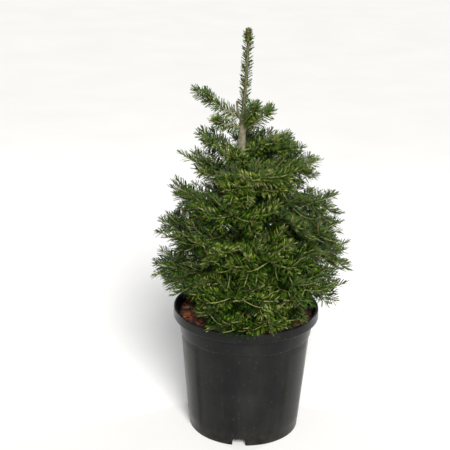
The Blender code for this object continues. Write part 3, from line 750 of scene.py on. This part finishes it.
def make_bough(limb):
    """A bough's skin from inside the trunk's collar to just past its first side shoots."""
    shares = (BOUGH_SHARE + BOUGH_OVERLAP) * np.arange(BOUGH_RINGS) / (BOUGH_RINGS - 1)
    centres, forwards, thickness = (np.array([read(share) for share in shares])
                                    for read in (limb.point, limb.forward, limb.thickness))
    centres[0] -= np.array(outward(limb.azimuth)) * BOUGH_SINK
    thickness += BOUGH_FLARE * np.exp(-shares * limb.length / FLARE_LENGTH)
    rings, spokes = rings_along(centres, forwards, thickness, BOUGH_SIDES)
    swell = relief(rings, *BOUGH_BUMPS) + np.maximum(relief(rings, *BOUGH_SCARS), 0.0)
    return skin(rings + spokes * swell[:, :, None])


bough_finish = make_bark_finish(
    "olive_tan_bark", dark=(0.11, 0.085, 0.045), light=(0.30, 0.24, 0.13), tip_colour=(0.26, 0.22, 0.08),
    tip_heights=(0.58, 0.72), patch=110.0, fine=600.0)
for whorl_name, *_ in WHORLS:
    members = [limb for limb in old_limbs if limb.whorl == whorl_name]
    mesh = mesh_of("boughs", *join([make_bough(limb) for limb in members]))
    nodes = ["bough_" + limb.name for limb in members]
    add_piece(f"{whorl_name}_boughs", mesh, [bough_finish], nodes, smooth_angle=70.0)


# The shoots
# Each bough goes on as a stem with side shoots in pairs, which fork again into this year's growth. A shoot
# droops a little, turns up at its end and closes in a cluster of small resinous buds. The stems and the first
# pairs follow the rule of the solids, and the finer shoots go on from them within the same reach.
ROLL_SPREAD = 55.0
ROLL_SHARE = 0.45
LEAST_ROLL = 0.45
TIP_ROLL_SWING = 12.0
TURN_SWING = 6.0
LENGTH_SWING = 0.08
RISE_SWING = (-4.0, 8.0)
FIN_SHARE = 0.14
FIN_LIFT = 24.0
FIN_ROLL_SWING = 15.0
CREST_SHARE = 0.05
CREST_LIFT = 46.0
CREST_LENGTH = 0.36
CREST_ROLL_SWING = 25.0
TRIAL_LENGTHS = (1.0, 0.85, 0.7, 0.5)
# Pairs of side shoots by kind of limb, those of the solids and then finer ones that go on from there. Each
# row is a share along the limb, a share of its length, an angle aside and a rise
SOLID_ROWS = ((0.35, 0.62, 62.0, 14.0), (0.58, 0.46, 45.0, -12.0))
FINER_ROWS = (
    (0.10, 0.42, 46.0, 36.0), (0.26, 0.50, 24.0, 28.0), (0.20, 0.48, 66.0, 22.0), (0.48, 0.46, 18.0, 24.0),
    (0.70, 0.42, 70.0, 4.0), (0.18, 0.52, 58.0, -14.0), (0.34, 0.50, 24.0, -26.0), (0.50, 0.46, 64.0, -18.0),
    (0.74, 0.38, 54.0, -16.0),
)
LIMB_ROWS = {
    "old": (SOLID_ROWS, FINER_ROWS),
    "young": (SOLID_ROWS[1:], ((0.50, 0.36, 46.0, 6.0),)),
    "rod": ((), ((0.60, 0.30, 14.0, 22.0),)),
}
FINER_PLACE_SWING = 0.03
FINER_TURN_SWING = 12.0
FINER_RISE_SWING = 8.0
FINER_ROLL = 50.0
# Forks of the side shoots, and forks of those: share, part of the length and angle
FORKS = (((0.34, 0.46, 52.0), (0.66, 0.36, 44.0)), ((0.48, 0.46, 48.0),))
LEAST_FORK = 0.034
FORK_LIFTS = (-0.30, 0.24)
FORK_PLACE_SWING = 0.05
FORK_TURN_SWING = 7.0
FORK_ROLL = 0.15
PART_SWING = (0.8, 1.2)
# Short shoots on the trunk between the whorls: how many over each, their lengths and rises
INNER_SHOOTS = {"low": 8, "lower": 10, "middle": 13, "upper": 12, "high": 9}
INNER_SPAN = 0.060
INNER_LENGTHS = (0.060, 0.095)
INNER_RISES = (0.2, 0.9)
INNER_TURN_SWING = 25.0
ROOT_SINK = 0.8
GOLDEN_ANGLE = 137.5
UPTURN = 0.20
STEM_CURL = 0.021
SIDE_BEND = 0.10
FACING = 0.8
STEP_LENGTH = 0.008
SHOOT_RADII = ((0.0024, 0.0012), (0.0015, 0.0009), (0.0011, 0.0007), (0.0008, 0.0006))
SHOOT_SIDES = 6
BUD_SIZE = 0.0042
BUD_WIDTH = 0.42
BUD_SIDES = 5
BUD_PROFILE = ((0.0, 0.6), (0.45, 1.0), (0.88, 0.36))
BUD_REFERENCE = (0.31, 0.52, 0.79)
BUD_MOTTLING = (260.0, 1200.0, 0.4, 0.6)
SIDE_BUD_SET = 0.3
SIDE_BUD_LEAN = 0.9
SIDE_BUD_SIZE = 0.75
# Tints dealt out to the shoots of a whorl, from deep green to fresh; the deep green is partly the darker
# colour of older needles and partly painted shade for the inside of the crown
WHORL_TINTS = {"low": (0, 1, 2), "high": (1, 2, 2), "second": (1, 2, 2), "top": (1, 2, 2)}
MIXED_TINTS = (0, 1, 1, 2)
# The olive green tint that bright limbs and the tint swings reach is partly painted highlight
BRIGHT_LIMBS = ("second_3", "high_2")
BRIGHT_TINTS = (2, 2, 3)
TIP_ROOM = 0.007
RIM_ROOM = 0.003
LEFT_MARGIN = 0.006
LOWEST_RISES = {"low": -9.0, "lower": -20.0}
LOWEST_TIP = 0.284
LOWEST_TIP_LIFT = 0.042
# Where bark or sky can be seen through the crown: azimuth, half width, reach from there, lowest and highest
OPEN_PLACES = (
    (-78.0, 14.0, 0.116, 0.0, 0.328), (-46.0, 9.0, 0.116, 0.0, 0.324), (78.0, 15.0, 0.118, 0.0, 0.328),
    (94.0, 38.0, 0.152, 0.0, 0.330),
    (-95.0, 40.0, 0.112, 0.588, 0.620), (86.0, 45.0, 0.138, 0.540, 0.590),
)
# Shoots that one limb has beyond the rows: share along it, share of its length, angle aside and rise
MORE_SHOOTS = {
    "upper_1": ((0.28, 0.84, 5.0, 19.0), (0.40, 0.70, -15.0, 22.0), (0.52, 0.52, 12.0, 26.0)),
    "low_3": ((0.60, 0.72, 62.0, 4.0), (0.46, 0.70, -58.0, 0.0), (0.84, 0.42, 70.0, -2.0)),
    "low_2": ((0.52, 0.60, -52.0, 2.0), (0.66, 0.62, 58.0, -2.0)),
}
# Limbs whose needles end short of the solid: name and share of the length
SHORT_LIMBS = {"second_4": 0.78, "top_4": 0.80, "high_3": 0.90}


class Shoot:
    """A leafy shoot: its line, its upper side, its thickness, its rank and how it is tinted."""

    def __init__(self, line, top, radii, rank=0, tint=0):
        self.line = line
        self.forwards = unit(np.gradient(line, axis=0))
        top = np.array(top)
        self.tops = unit(top - self.forwards * (self.forwards @ top)[:, None])
        self.sides = np.cross(self.tops, self.forwards)
        self.radii = np.linspace(*radii, len(line)) if len(radii) == 2 else np.array(radii)
        self.length = float(np.linalg.norm(np.diff(line, axis=0), axis=1).sum())
        self.rank = rank
        self.tint = tint

    def read(self, shares):
        """Centres, forwards, tops, sides and radii at shares of the length."""
        index = np.linspace(0.0, 1.0, len(self.line))
        rows = [np.stack([np.interp(shares, index, row[:, axis]) for axis in range(3)], axis=1)
                for row in (self.line, self.forwards, self.tops, self.sides)]
        return *rows, np.interp(shares, index, self.radii)


def in_pot(points, over_bark, past_wall, over_rim):
    """Which points come nearer to the potting bark, the pot's wall and its rim than the room given."""
    reach, heights = np.hypot(points[:, 0], points[:, 1]), points[:, 2]
    in_bark = (reach < COLLAR_RADIUS) & (heights < SOIL_TOP + over_bark)
    at_wall = (reach > inner_radius(SOIL_TOP)) & (reach < COLLAR_RADIUS + past_wall)
    return in_bark | at_wall & (heights < POT_HEIGHT + over_rim)


def inside_crown(line):
    """True while a shoot's tip keeps to the crown's outline, and the rest clear of pot and open places."""
    reach, heights = np.hypot(line[:, 0], line[:, 1]), line[:, 2]
    azimuths = np.degrees(np.arctan2(line[:, 0], -line[:, 1]))
    aside = math.sin(math.radians(azimuths[-1]))
    margin = SPRAY_MARGIN + LEFT_MARGIN * max(-aside, 0.0)
    if reach[-1] + TIP_ROOM > crown_reach(heights[-1], azimuths[-1]) + margin:
        return False
    if heights[-1] < LOWEST_TIP + LOWEST_TIP_LIFT * abs(aside) and reach[-1] > COLLAR_RADIUS:
        return False
    for middle, half_width, least_reach, lowest, highest in OPEN_PLACES:
        level = (heights > lowest) & (heights < highest)
        if ((np.abs(azimuths - middle) < half_width) & (reach > least_reach) & level).any():
            return False
    return not in_pot(line, SPRAY_MARGIN, RIM_ROOM, RIM_ROOM).any()


def shoot_line(start, along, length):
    """A shoot's line: it droops a little, then turns up to its end, and bends forward along its bough."""
    count = max(3, round(length / STEP_LENGTH) + 1)
    shares = np.arange(count) / (count - 1)
    rise = UP - along * along.dot(UP)
    away = Vector((start[0], start[1], 0.0)).normalized()
    bend = away - along * along.dot(away)
    curve = UPTURN * (shares ** 3 - shares) * length
    swing = SIDE_BEND * (shares ** 2 - shares) * length
    return (np.array(start) + np.array(along) * (shares * length)[:, None] + np.array(rise) * curve[:, None]
            + np.array(bend) * swing[:, None])


def heading(forward, angle, rise):
    """Direction and level of a shoot that is turned aside from a limb and lifted, as on the solids."""
    level = UP.cross(forward).normalized()
    forward = Matrix.Rotation(math.radians(-rise), 3, level) @ forward
    turn = Matrix.Rotation(math.radians(angle), 3, forward.cross(level).normalized())
    return turn @ forward, turn @ level


def grow(shoots, start, along, top, length, rank, tint):
    """Add a shoot at the first trial length that keeps to the crown; returns it, or none."""
    away = Vector((start[0], start[1], 0.0)).normalized()
    for share in TRIAL_LENGTHS:
        line = shoot_line(start, along, length * share)
        if inside_crown(line):
            shoot = Shoot(line, Vector(top) + away * FACING, SHOOT_RADII[rank], rank, tint)
            shoots.append(shoot)
            return shoot
    return None


def fork(shoots, shoot, draw):
    """Side shoots of a shoot, in its own plane, and theirs in turn."""
    if shoot is None or shoot.rank > len(FORKS):
        return
    for share, part, angle in FORKS[shoot.rank - 1]:
        for side in (-1.0, 1.0):
            place = share + draw.uniform(-FORK_PLACE_SWING, FORK_PLACE_SWING)
            length = shoot.length * part * draw.uniform(*PART_SWING)
            turn = math.radians(angle + draw.uniform(-FORK_TURN_SWING, FORK_TURN_SWING))
            lift = draw.uniform(*FORK_LIFTS)
            tint = draw.choice((shoot.tint, shoot.tint, 2))
            if length < LEAST_FORK:
                continue
            centre, forward, top, aside, _ = (row[0] for row in shoot.read(np.array([place])))
            aside *= side
            along = Vector(forward * math.cos(turn) + aside * math.sin(turn) + top * lift).normalized()
            new_top = Vector(top) + Vector(aside) * FORK_ROLL
            fork(shoots, grow(shoots, centre, along, new_top, length, shoot.rank + 1, tint), draw)


def stem_of(limb, foot, tint):
    """The leafy stem that carries a bough on to its tip, where it turns up."""
    end = SHORT_LIMBS.get(limb.name, 1.0 - TIP_ROOM / limb.length)
    shares = np.linspace(foot, end, max(4, round(limb.length * (end - foot) / STEP_LENGTH)))
    line = np.array([limb.point(share) for share in shares])
    line[:, 2] += STEM_CURL * limb.length * smooth_step((shares - STEM_END_SHARE) / (1.0 - STEM_END_SHARE))
    return Shoot(line, UP, [max(limb.thickness(share), TWIG_RADIUS) for share in shares], tint=tint)


def grow_mass(limb):
    """Every shoot of one limb, by the rule of the solids and then on to the finer ones."""
    draw = random.Random(f"{SEED}{limb.name}")
    finer = random.Random(f"{SEED}{limb.name}_finer")
    is_old = limb.kind == "old"
    first_share = BOUGH_SHARE if is_old else 0.0
    tints = BRIGHT_TINTS if limb.name in BRIGHT_LIMBS else WHORL_TINTS.get(limb.whorl, MIXED_TINTS)
    shoots = [stem_of(limb, first_share + BOUGH_OVERLAP * 0.5 * is_old, tints[1])]

    def add_spray(share, angle, roll, length, rise, rank, tint):
        """One side shoot in the place of a blade of the solids, with its forks."""
        along, across = heading(limb.forward(share), angle, rise)
        top = along.cross(Matrix.Rotation(math.radians(roll * ROLL_SHARE), 3, along) @ across)
        fork(shoots, grow(shoots, limb.point(share), along, top, length - TIP_ROOM, rank, tint), finer)

    # The solids draw a roll for the blade at the tip here
    draw.uniform(-TIP_ROLL_SWING, TIP_ROLL_SWING)
    solid_rows, finer_rows = LIMB_ROWS[limb.kind]
    for share, part, angle, rise in solid_rows:
        for side in (-1.0, 1.0):
            turn = side * (angle + draw.uniform(-TURN_SWING, TURN_SWING))
            roll = side * draw.uniform(LEAST_ROLL, 1.0) * ROLL_SPREAD
            length = limb.length * part * draw.uniform(1.0 - LENGTH_SWING, 1.0 + LENGTH_SWING)
            lift = side * rise + draw.uniform(*RISE_SWING)
            add_spray(share, turn, roll, length, lift, 1, finer.choice(tints))
    if limb.kind != "rod":
        share = first_share + FIN_SHARE
        roll = draw.uniform(-FIN_ROLL_SWING, FIN_ROLL_SWING)
        add_spray(share, 0.0, roll, limb.length * (STEM_END_SHARE - share), FIN_LIFT, 1, 1)
    if is_old:
        # The crest by the trunk takes the deep green tint, partly painted shade inside the crown
        roll = draw.uniform(-CREST_ROLL_SWING, CREST_ROLL_SWING)
        add_spray(first_share + CREST_SHARE, 0.0, roll, limb.length * CREST_LENGTH, CREST_LIFT, 1, 0)
    for share, part, angle, rise in finer_rows:
        for side in (-1.0, 1.0):
            place = share + finer.uniform(-FINER_PLACE_SWING, FINER_PLACE_SWING)
            turn = side * (angle + finer.uniform(-FINER_TURN_SWING, FINER_TURN_SWING))
            length = limb.length * part * finer.uniform(*PART_SWING)
            lift = rise + finer.uniform(-FINER_RISE_SWING, FINER_RISE_SWING)
            lift = max(lift, LOWEST_RISES.get(limb.whorl, rise))
            roll = side * finer.uniform(0.0, FINER_ROLL)
            add_spray(place, turn, roll, length, lift, 2, finer.choice(tints))
    for share, part, angle, rise in MORE_SHOOTS.get(limb.name, ()):
        add_spray(share, angle, 0.0, limb.length * part, rise, 1, finer.choice(tints))
    return shoots


def grow_inner(whorl, root_height, count):
    """Short shoots that stand on the trunk above a whorl."""
    draw = random.Random(f"{SEED}{whorl}_inner")
    shoots = []
    for index in range(count):
        height = root_height + INNER_SPAN * (index + 0.5) / count
        away = outward(index * GOLDEN_ANGLE + draw.uniform(-INNER_TURN_SWING, INNER_TURN_SWING))
        along = (away + UP * draw.uniform(*INNER_RISES)).normalized()
        top = along.cross(away.cross(UP)).normalized()
        top = -top if top.z < 0.0 else top
        start = trunk_centre(height) + away * trunk_radius(height) * ROOT_SINK
        # These shoots inside the crown take the deep green tint, partly painted shade
        fork(shoots, grow(shoots, start, along, top, draw.uniform(*INNER_LENGTHS), 2, 0), draw)
    return shoots


def shoot_skin(shoot):
    """The bark of one shoot."""
    rings, _ = rings_along(shoot.line, shoot.forwards, shoot.radii, SHOOT_SIDES, shoot.tops[0])
    return skin(rings)


def bud(place, forward, size):
    """A small pointed bud."""
    centres = np.array([place + forward * size * share for share, _ in BUD_PROFILE])
    radii = np.array([size * BUD_WIDTH * width for _, width in BUD_PROFILE])
    forwards = np.repeat(forward[None, :], len(BUD_PROFILE), axis=0)
    return skin(rings_along(centres, forwards, radii, BUD_SIDES, np.cross(forward, BUD_REFERENCE))[0])


def buds_of(shoot, size):
    """A leading bud at a shoot's tip and, on all but the finest, one on either side of it."""
    place, forward = shoot.line[-1], shoot.forwards[-1]
    parts = [bud(place, forward, size)]
    if shoot.rank < 2:
        foot = place - forward * size * SIDE_BUD_SET
        parts += [bud(foot, unit(forward + shoot.sides[-1] * side * SIDE_BUD_LEAN), size * SIDE_BUD_SIZE)
                  for side in (-1.0, 1.0)]
    return parts


whorl_shoots = {whorl: [] for whorl, *_ in WHORLS + YOUNG_WHORLS}
for limb in all_limbs:
    whorl_shoots[limb.whorl] += grow_mass(limb)
for whorl_name, root_height, *_ in WHORLS:
    whorl_shoots[whorl_name] += grow_inner(whorl_name, root_height, INNER_SHOOTS[whorl_name])

shoot_finish = make_bark_finish(
    "olive_shoot_bark", dark=(0.18, 0.195, 0.045), light=(0.36, 0.385, 0.12), tip_colour=(0.34, 0.31, 0.12),
    tip_heights=(0.62, 0.74), patch=90.0, fine=900.0)
bud_finish = mottled_finish("resinous_buds", 0.42, (0.075, 0.035, 0.015), (0.20, 0.12, 0.045), BUD_MOTTLING)
buds = []
for whorl_name, shoots in whorl_shoots.items():
    mesh = mesh_of("shoots", *join([shoot_skin(shoot) for shoot in shoots]))
    add_piece(f"{whorl_name}_shoots", mesh, [shoot_finish], smooth_angle=80.0)
    for shoot in shoots:
        buds += buds_of(shoot, BUD_SIZE)


# The needles
# Flat, blunt fir needles about two centimetres long, glossy dark green above and silvery below. They leave
# the shoot in a spiral but part to both sides of it, shorter and more forward on top, and close round the
# buds. Each is a blade of ten faces with a keel below, and a whorl's needles are joined into one piece.
OLD_NEEDLES_START = 0.10
NEEDLE_WIDTH = 0.0019
NEEDLE_THICKNESS = 0.0004
GOLDEN_SHARE = 0.381966
SPIRAL_SWING = 0.25
ANGLE_SWING = 10.0
LENGTH_SWINGS = (0.86, 1.08)
DIRECTION_SWING = 0.05
FOOT_LENGTH = 0.72
TIP_LENGTH = 0.74
SPREAD_EASE = 0.9
CURL = 0.12
UPWARD_SHARE = 0.7
UPWARD_FROM = 75.0
KEEL_SHARE = 0.5
KEEL_BEND = 0.3
# Points of a needle: share of its length, share of its bend and share of its half width
NEEDLE_POINTS = ((0.0, 0.0, 0.0), (0.16, 0.03, 0.8), (0.16, 0.03, -0.8), (0.84, 0.70, 1.0),
                 (0.84, 0.70, -1.0), (1.0, 1.0, 0.0))
TUFT_LENGTH = 0.016
NEEDLE_SINK = 0.6
NEEDLE_ROOM = (0.003, 0.001, 0.0)
TINT_SWINGS = (-1, -1, 0, 0, 1)
# How needles stand on a shoot: how many a metre and how long, how far round it they start and end, their
# angles and length on top and at the side, how far they close round the tip, and how much each twists
HABIT = {"per_metre": 900.0, "longest": 0.0215, "parting": 28.0, "spread": 104.0, "top_angle": 40.0,
         "side_angle": 62.0, "top_length": 0.66, "closing": 0.65, "twist": 0.35}
# Where a whorl, the boughs or the leader differ from that
OTHER_HABITS = {
    "top": {"per_metre": 2700.0, "parting": 6.0, "spread": 180.0, "top_angle": 64.0, "side_angle": 68.0,
            "top_length": 0.95},
    "second": {"per_metre": 1800.0, "parting": 14.0, "spread": 160.0, "top_angle": 58.0, "side_angle": 66.0,
               "top_length": 0.9},
    "high": {"per_metre": 1100.0, "spread": 120.0},
    "bough": {"per_metre": 350.0},
    "leader": {"per_metre": 2000.0, "longest": 0.0140, "parting": 0.0, "spread": 180.0, "top_angle": 58.0,
               "side_angle": 58.0, "top_length": 1.0, "closing": 0.1, "twist": 1.5},
    "tuft": {"per_metre": 3000.0, "longest": 0.0115, "parting": 0.0, "spread": 180.0, "top_angle": 62.0,
             "side_angle": 62.0, "top_length": 1.0, "closing": 0.5},
}
NEEDLE_TRIANGLES = np.array([
    (0, 1, 2), (1, 3, 4), (1, 4, 2), (3, 5, 4),
    (0, 6, 1), (1, 6, 3), (3, 6, 5), (5, 6, 4), (4, 6, 2), (2, 6, 0),
])
TOP_FACES = 4


def needles_on(shoot, kind):
    """Roots, directions, upper sides, bends and lengths of the needles on one shoot."""
    habit = {**HABIT, **OTHER_HABITS.get(kind, {})}
    draw = needle_draw
    count = max(6, int(shoot.length * habit["per_metre"]))
    shares = (np.arange(count) + 0.5) / count
    centres, forwards, tops, sides, radii = shoot.read(shares)
    turn = (np.arange(count) * GOLDEN_SHARE + draw.uniform(0.0, SPIRAL_SWING, count)) % 1.0 * 2.0 - 1.0
    round_angle = habit["parting"] + (habit["spread"] - habit["parting"]) * np.abs(turn) ** SPREAD_EASE
    aside = np.clip(round_angle / 90.0, 0.0, 1.0)
    angle = habit["top_angle"] + (habit["side_angle"] - habit["top_angle"]) * aside
    angle += draw.uniform(-ANGLE_SWING, ANGLE_SWING, count)
    near_tip = smooth_step((1.0 - shares) * shoot.length / TUFT_LENGTH)
    near_foot = smooth_step(shares * shoot.length / TUFT_LENGTH)
    angle *= 1.0 - habit["closing"] * (1.0 - near_tip)
    lengths = habit["longest"] * (habit["top_length"] + (1.0 - habit["top_length"]) * aside)
    lengths *= draw.uniform(*LENGTH_SWINGS, count)
    lengths *= (FOOT_LENGTH + (1.0 - FOOT_LENGTH) * near_foot) * (TIP_LENGTH + (1.0 - TIP_LENGTH) * near_tip)
    turned = (np.radians(round_angle) * np.sign(turn))[:, None]
    radial = tops * np.cos(turned) + sides * np.sin(turned)
    lean = np.radians(angle)[:, None]
    swing = draw.uniform(-DIRECTION_SWING, DIRECTION_SWING, (count, 3))
    directions = unit(forwards * np.cos(lean) + radial * np.sin(lean) + swing)
    inner = forwards * np.sin(lean) - radial * np.cos(lean)
    upward = UPWARD_SHARE * smooth_step(round_angle / UPWARD_FROM)[:, None]
    uppers = inner * (1.0 - upward) + tops * upward
    uppers = unit(uppers - directions * (uppers * directions).sum(axis=1)[:, None])
    twist = draw.normal(0.0, habit["twist"], count) * (1.0 + smooth_step((round_angle - 90.0) / 60.0))
    twist = twist[:, None]
    uppers = uppers * np.cos(twist) + np.cross(directions, uppers) * np.sin(twist)
    roots = centres + radial * (radii * NEEDLE_SINK)[:, None]
    bends = (forwards + tops) * 0.5 * (lengths * CURL)[:, None]
    kept = ~in_pot(roots + directions * lengths[:, None], *NEEDLE_ROOM)
    return [row[kept] for row in (roots, directions, uppers, bends, lengths)]


def needle_mesh(name, roots, directions, uppers, bends, lengths):
    """All the needles of a piece as one mesh: blades with a flat upper face and a keel below."""
    across = np.cross(directions, uppers) * NEEDLE_WIDTH / 2.0
    along = directions * lengths[:, None]
    rows = [roots + along * share + bends * bend + across * width for share, bend, width in NEEDLE_POINTS]
    rows.append(roots + along * KEEL_SHARE + bends * KEEL_BEND - uppers * NEEDLE_THICKNESS)
    points = np.stack(rows, axis=1).reshape(-1, 3)
    starts = np.arange(len(roots)) * len(rows)
    triangles = (starts[:, None, None] + NEEDLE_TRIANGLES[None, :, :]).reshape(-1, 3)
    return mesh_of(name, points, triangles)


def make_needle_finish(name, colour, roughness):
    """One plain tint of waxy needle; a needle's tint follows that of its shoot."""
    return new_finish(name, Base_Color=colour, Roughness=roughness, Specular_IOR_Level=0.18)[0]


needle_finishes = [
    # Deep green: the colour of older needles, darkened further as painted shade for the inside of the crown
    make_needle_finish("deep_green_needles", (0.010, 0.034, 0.0015), 0.40),
    make_needle_finish("leaf_green_needles", (0.044, 0.115, 0.004), 0.40),
    make_needle_finish("fresh_green_needles", (0.165, 0.260, 0.018), 0.42),
    # Olive green: the yellow-green of new growth, lightened further as painted highlight strokes
    make_needle_finish("olive_green_needles", (0.430, 0.460, 0.170), 0.44),
    make_needle_finish("silver_undersides", (0.078, 0.128, 0.036), 0.55),
]
UNDERSIDE = len(needle_finishes) - 1
needle_draw = np.random.RandomState(SEED)


def add_needles(name, groups, nodes):
    """One piece of needles from groups of (needles, tint)."""
    rows = [np.concatenate(column) for column in zip(*[needles for needles, _ in groups])]
    tints = np.concatenate([np.full(len(needles[0]), tint) for needles, tint in groups])
    tints = np.clip(tints + needle_draw.choice(TINT_SWINGS, len(tints)), 0, UNDERSIDE - 1)
    shares = np.full((len(tints), len(NEEDLE_TRIANGLES)), UNDERSIDE)
    shares[:, :TOP_FACES] = tints[:, None]
    add_piece(name, needle_mesh(name, *rows), needle_finishes, nodes, shares=shares.ravel())


for whorl_name, shoots in whorl_shoots.items():
    members = [limb for limb in all_limbs if limb.whorl == whorl_name]
    groups = [(needles_on(shoot, whorl_name), shoot.tint) for shoot in shoots]
    # Needles on the boughs near the trunk take the deep green tint, partly painted shade inside the crown
    for limb in (limb for limb in members if limb.kind == "old"):
        shares = np.linspace(OLD_NEEDLES_START, BOUGH_SHARE, 8)
        line = np.array([limb.point(share) for share in shares])
        groups.append((needles_on(Shoot(line, UP, [limb.thickness(share) for share in shares]), "bough"), 0))
    add_needles(f"{whorl_name}_needles", groups, ["needles_" + limb.name for limb in members])


# The leader
# This year's upright shoot, bare of side shoots, with short needles that stand up close to it all round.
# Small dark buds sit part way up, a cluster of resinous buds closes its tip, and a dead twig stands at its
# foot. Its stem is the trunk's own skin, so only the needles, the buds and the twig are made here.
LEADER_NEEDLES = (0.706, 0.889)
LEADER_POINTS = 24
TUFT_POINTS = 4
TO_VIEWER = Vector((0.0, -1.0, 0.0))
TIP_HEIGHT = 0.887
TIP_BUD_RISE = 0.002
TIP_BUD = 0.0090
TIP_RING_STEP = 60
# The rings of buds round the bud at the tip: rise, first azimuth, lean and size
TIP_RINGS = ((-0.002, 0.0, 0.8, 0.0085), (-0.009, 30.0, 1.4, 0.0075))
# Buds part way up the leader: height and azimuth
LEADER_BUDS = ((0.776, -100.0), (0.778, 70.0), (0.745, -60.0), (0.752, 120.0))
LEADER_BUD_LEAN = 0.9
LEADER_BUD = 0.0055
# A short dead twig beside the foot of the leader
STUB_LINE = ((-0.0200, -0.003, 0.704), (-0.0260, -0.006, 0.716), (-0.0285, -0.007, 0.729),
             (-0.0290, -0.007, 0.741))
STUB_RADII = (0.0028, 0.0022)
STUB_BUD = 0.0058


def leaning_bud(place, azimuth, lean, size):
    """A bud that stands out from an upright stem."""
    return bud(np.array(place), unit(np.array(outward(azimuth) * lean + UP)), size)


heights = np.linspace(*LEADER_NEEDLES, LEADER_POINTS)
line = np.array([trunk_centre(height) for height in heights])
leader = Shoot(line, TO_VIEWER, [trunk_radius(height) for height in heights])
leader_needles = needles_on(leader, "leader")
tuft = Shoot(line[-TUFT_POINTS:], leader.tops[0], (LEADER_TIP_RADIUS, LEADER_TIP_RADIUS))
add_needles("leader_needles", [(leader_needles, 1), (needles_on(tuft, "tuft"), 2)], ["needles_leader"])
tip = trunk_centre(TIP_HEIGHT)
buds.append(bud(np.array(tip + UP * TIP_BUD_RISE), np.array(UP), TIP_BUD))
for turn in range(0, 360, TIP_RING_STEP):
    for tip_rise, first, lean, size in TIP_RINGS:
        buds.append(leaning_bud(tip + UP * tip_rise, turn + first, lean, size))
stub = Shoot(np.array(STUB_LINE), TO_VIEWER, STUB_RADII, rank=1)
stub_mesh = mesh_of("stub_twig", *shoot_skin(stub))
add_piece("stub_twig", stub_mesh, [trunk_finish], smooth_angle=80.0)
buds += buds_of(stub, STUB_BUD)
for height, azimuth in LEADER_BUDS:
    foot = trunk_centre(height) + outward(azimuth) * trunk_radius(height) * ROOT_SINK
    buds.append(leaning_bud(foot, azimuth, LEADER_BUD_LEAN, LEADER_BUD))
add_piece("buds", mesh_of("buds", *join(buds)), [bud_finish], smooth_angle=70.0)


# Floor, light and camera
# A plain pale floor under soft light from the viewer's side, with two narrow strips behind that edge the pot.
# The camera is at the photo's view, a little above the tree's top.
FLOOR_HALF = 14.0
FLOOR_MOTTLING = (3.0, 60.0, 0.3, 0.7)
FLOOR_RELIEF = (0.1, 0.0005)
SKY_COLOUR = (0.95, 0.97, 1.0, 1.0)
SKY_STRENGTH = 0.28
SUN_DIRECTION = (-0.16, 0.95, -0.72)
SUN_ANGLE = 24.0
STRIP_AIM = (0.0, 0.0, 0.5)
STRIP_WIDTH = 0.12
STRIP_HEIGHT = 1.6
CAMERA_PLACE = (-0.0496, -2.3629, 1.3146)
CAMERA_LENS = 93.2
CAMERA_TILT = 19.68
CAMERA_ROLL = 1.02

corners = ((-1.0, -1.0), (1.0, -1.0), (1.0, 1.0), (-1.0, 1.0))
floor_points = np.array([(x * FLOOR_HALF, y * FLOOR_HALF, 0.0) for x, y in corners])
floor_mesh = mesh_of("floor", floor_points, np.array([(0, 1, 2), (0, 2, 3)]))
floor_mesh.materials.append(mottled_finish("pale_floor", 0.7, (0.86, 0.855, 0.85), (0.90, 0.90, 0.895),
                                           FLOOR_MOTTLING, relief=FLOOR_RELIEF))
place_object("floor", floor_mesh)

world = bpy.data.worlds.new("studio")
world.use_nodes = True
sky = world.node_tree.nodes["Background"].inputs
sky["Color"].default_value = SKY_COLOUR
sky["Strength"].default_value = SKY_STRENGTH
bpy.context.scene.world = world
bpy.context.scene.view_settings.view_transform = "Standard"


def add_light(name, kind, place, direction, **settings):
    """A light that shines along a direction."""
    lamp = bpy.data.lights.new(name, kind)
    for key, value in settings.items():
        setattr(lamp, key, value)
    holder = place_object(name, lamp)
    holder.location = place
    holder.rotation_mode = "QUATERNION"
    holder.rotation_quaternion = Vector(direction).to_track_quat("-Z", "Y")


add_light("key_light", "SUN", (0.0, 0.0, 0.0), SUN_DIRECTION, energy=4.6, angle=math.radians(SUN_ANGLE),
          color=(1.0, 0.985, 0.95))
for name, place, watts, colour in (("right_strip", (1.7, 1.1, 0.7), 14.0, (1.0, 0.99, 0.97)),
                                   ("left_strip", (-1.9, 1.2, 0.7), 12.0, (0.97, 0.98, 1.0))):
    add_light(name, "AREA", place, Vector(STRIP_AIM) - Vector(place), shape="RECTANGLE", size=STRIP_WIDTH,
              size_y=STRIP_HEIGHT, energy=watts, color=colour)

tilt, roll = math.radians(CAMERA_TILT), math.radians(CAMERA_ROLL)
level = Vector((1.0, 0.0, 0.0))
rise = Vector((0.0, math.sin(tilt), math.cos(tilt)))
view = Vector((0.0, math.cos(tilt), -math.sin(tilt)))
across = level * math.cos(roll) + rise * math.sin(roll)
upward = rise * math.cos(roll) - level * math.sin(roll)
camera_data = bpy.data.cameras.new("camera")
camera_data.lens = CAMERA_LENS
camera = place_object("camera", camera_data)
camera.matrix_world = Matrix.Translation(CAMERA_PLACE) @ Matrix((across, upward, -view)).transposed().to_4x4()
bpy.context.scene.camera = camera
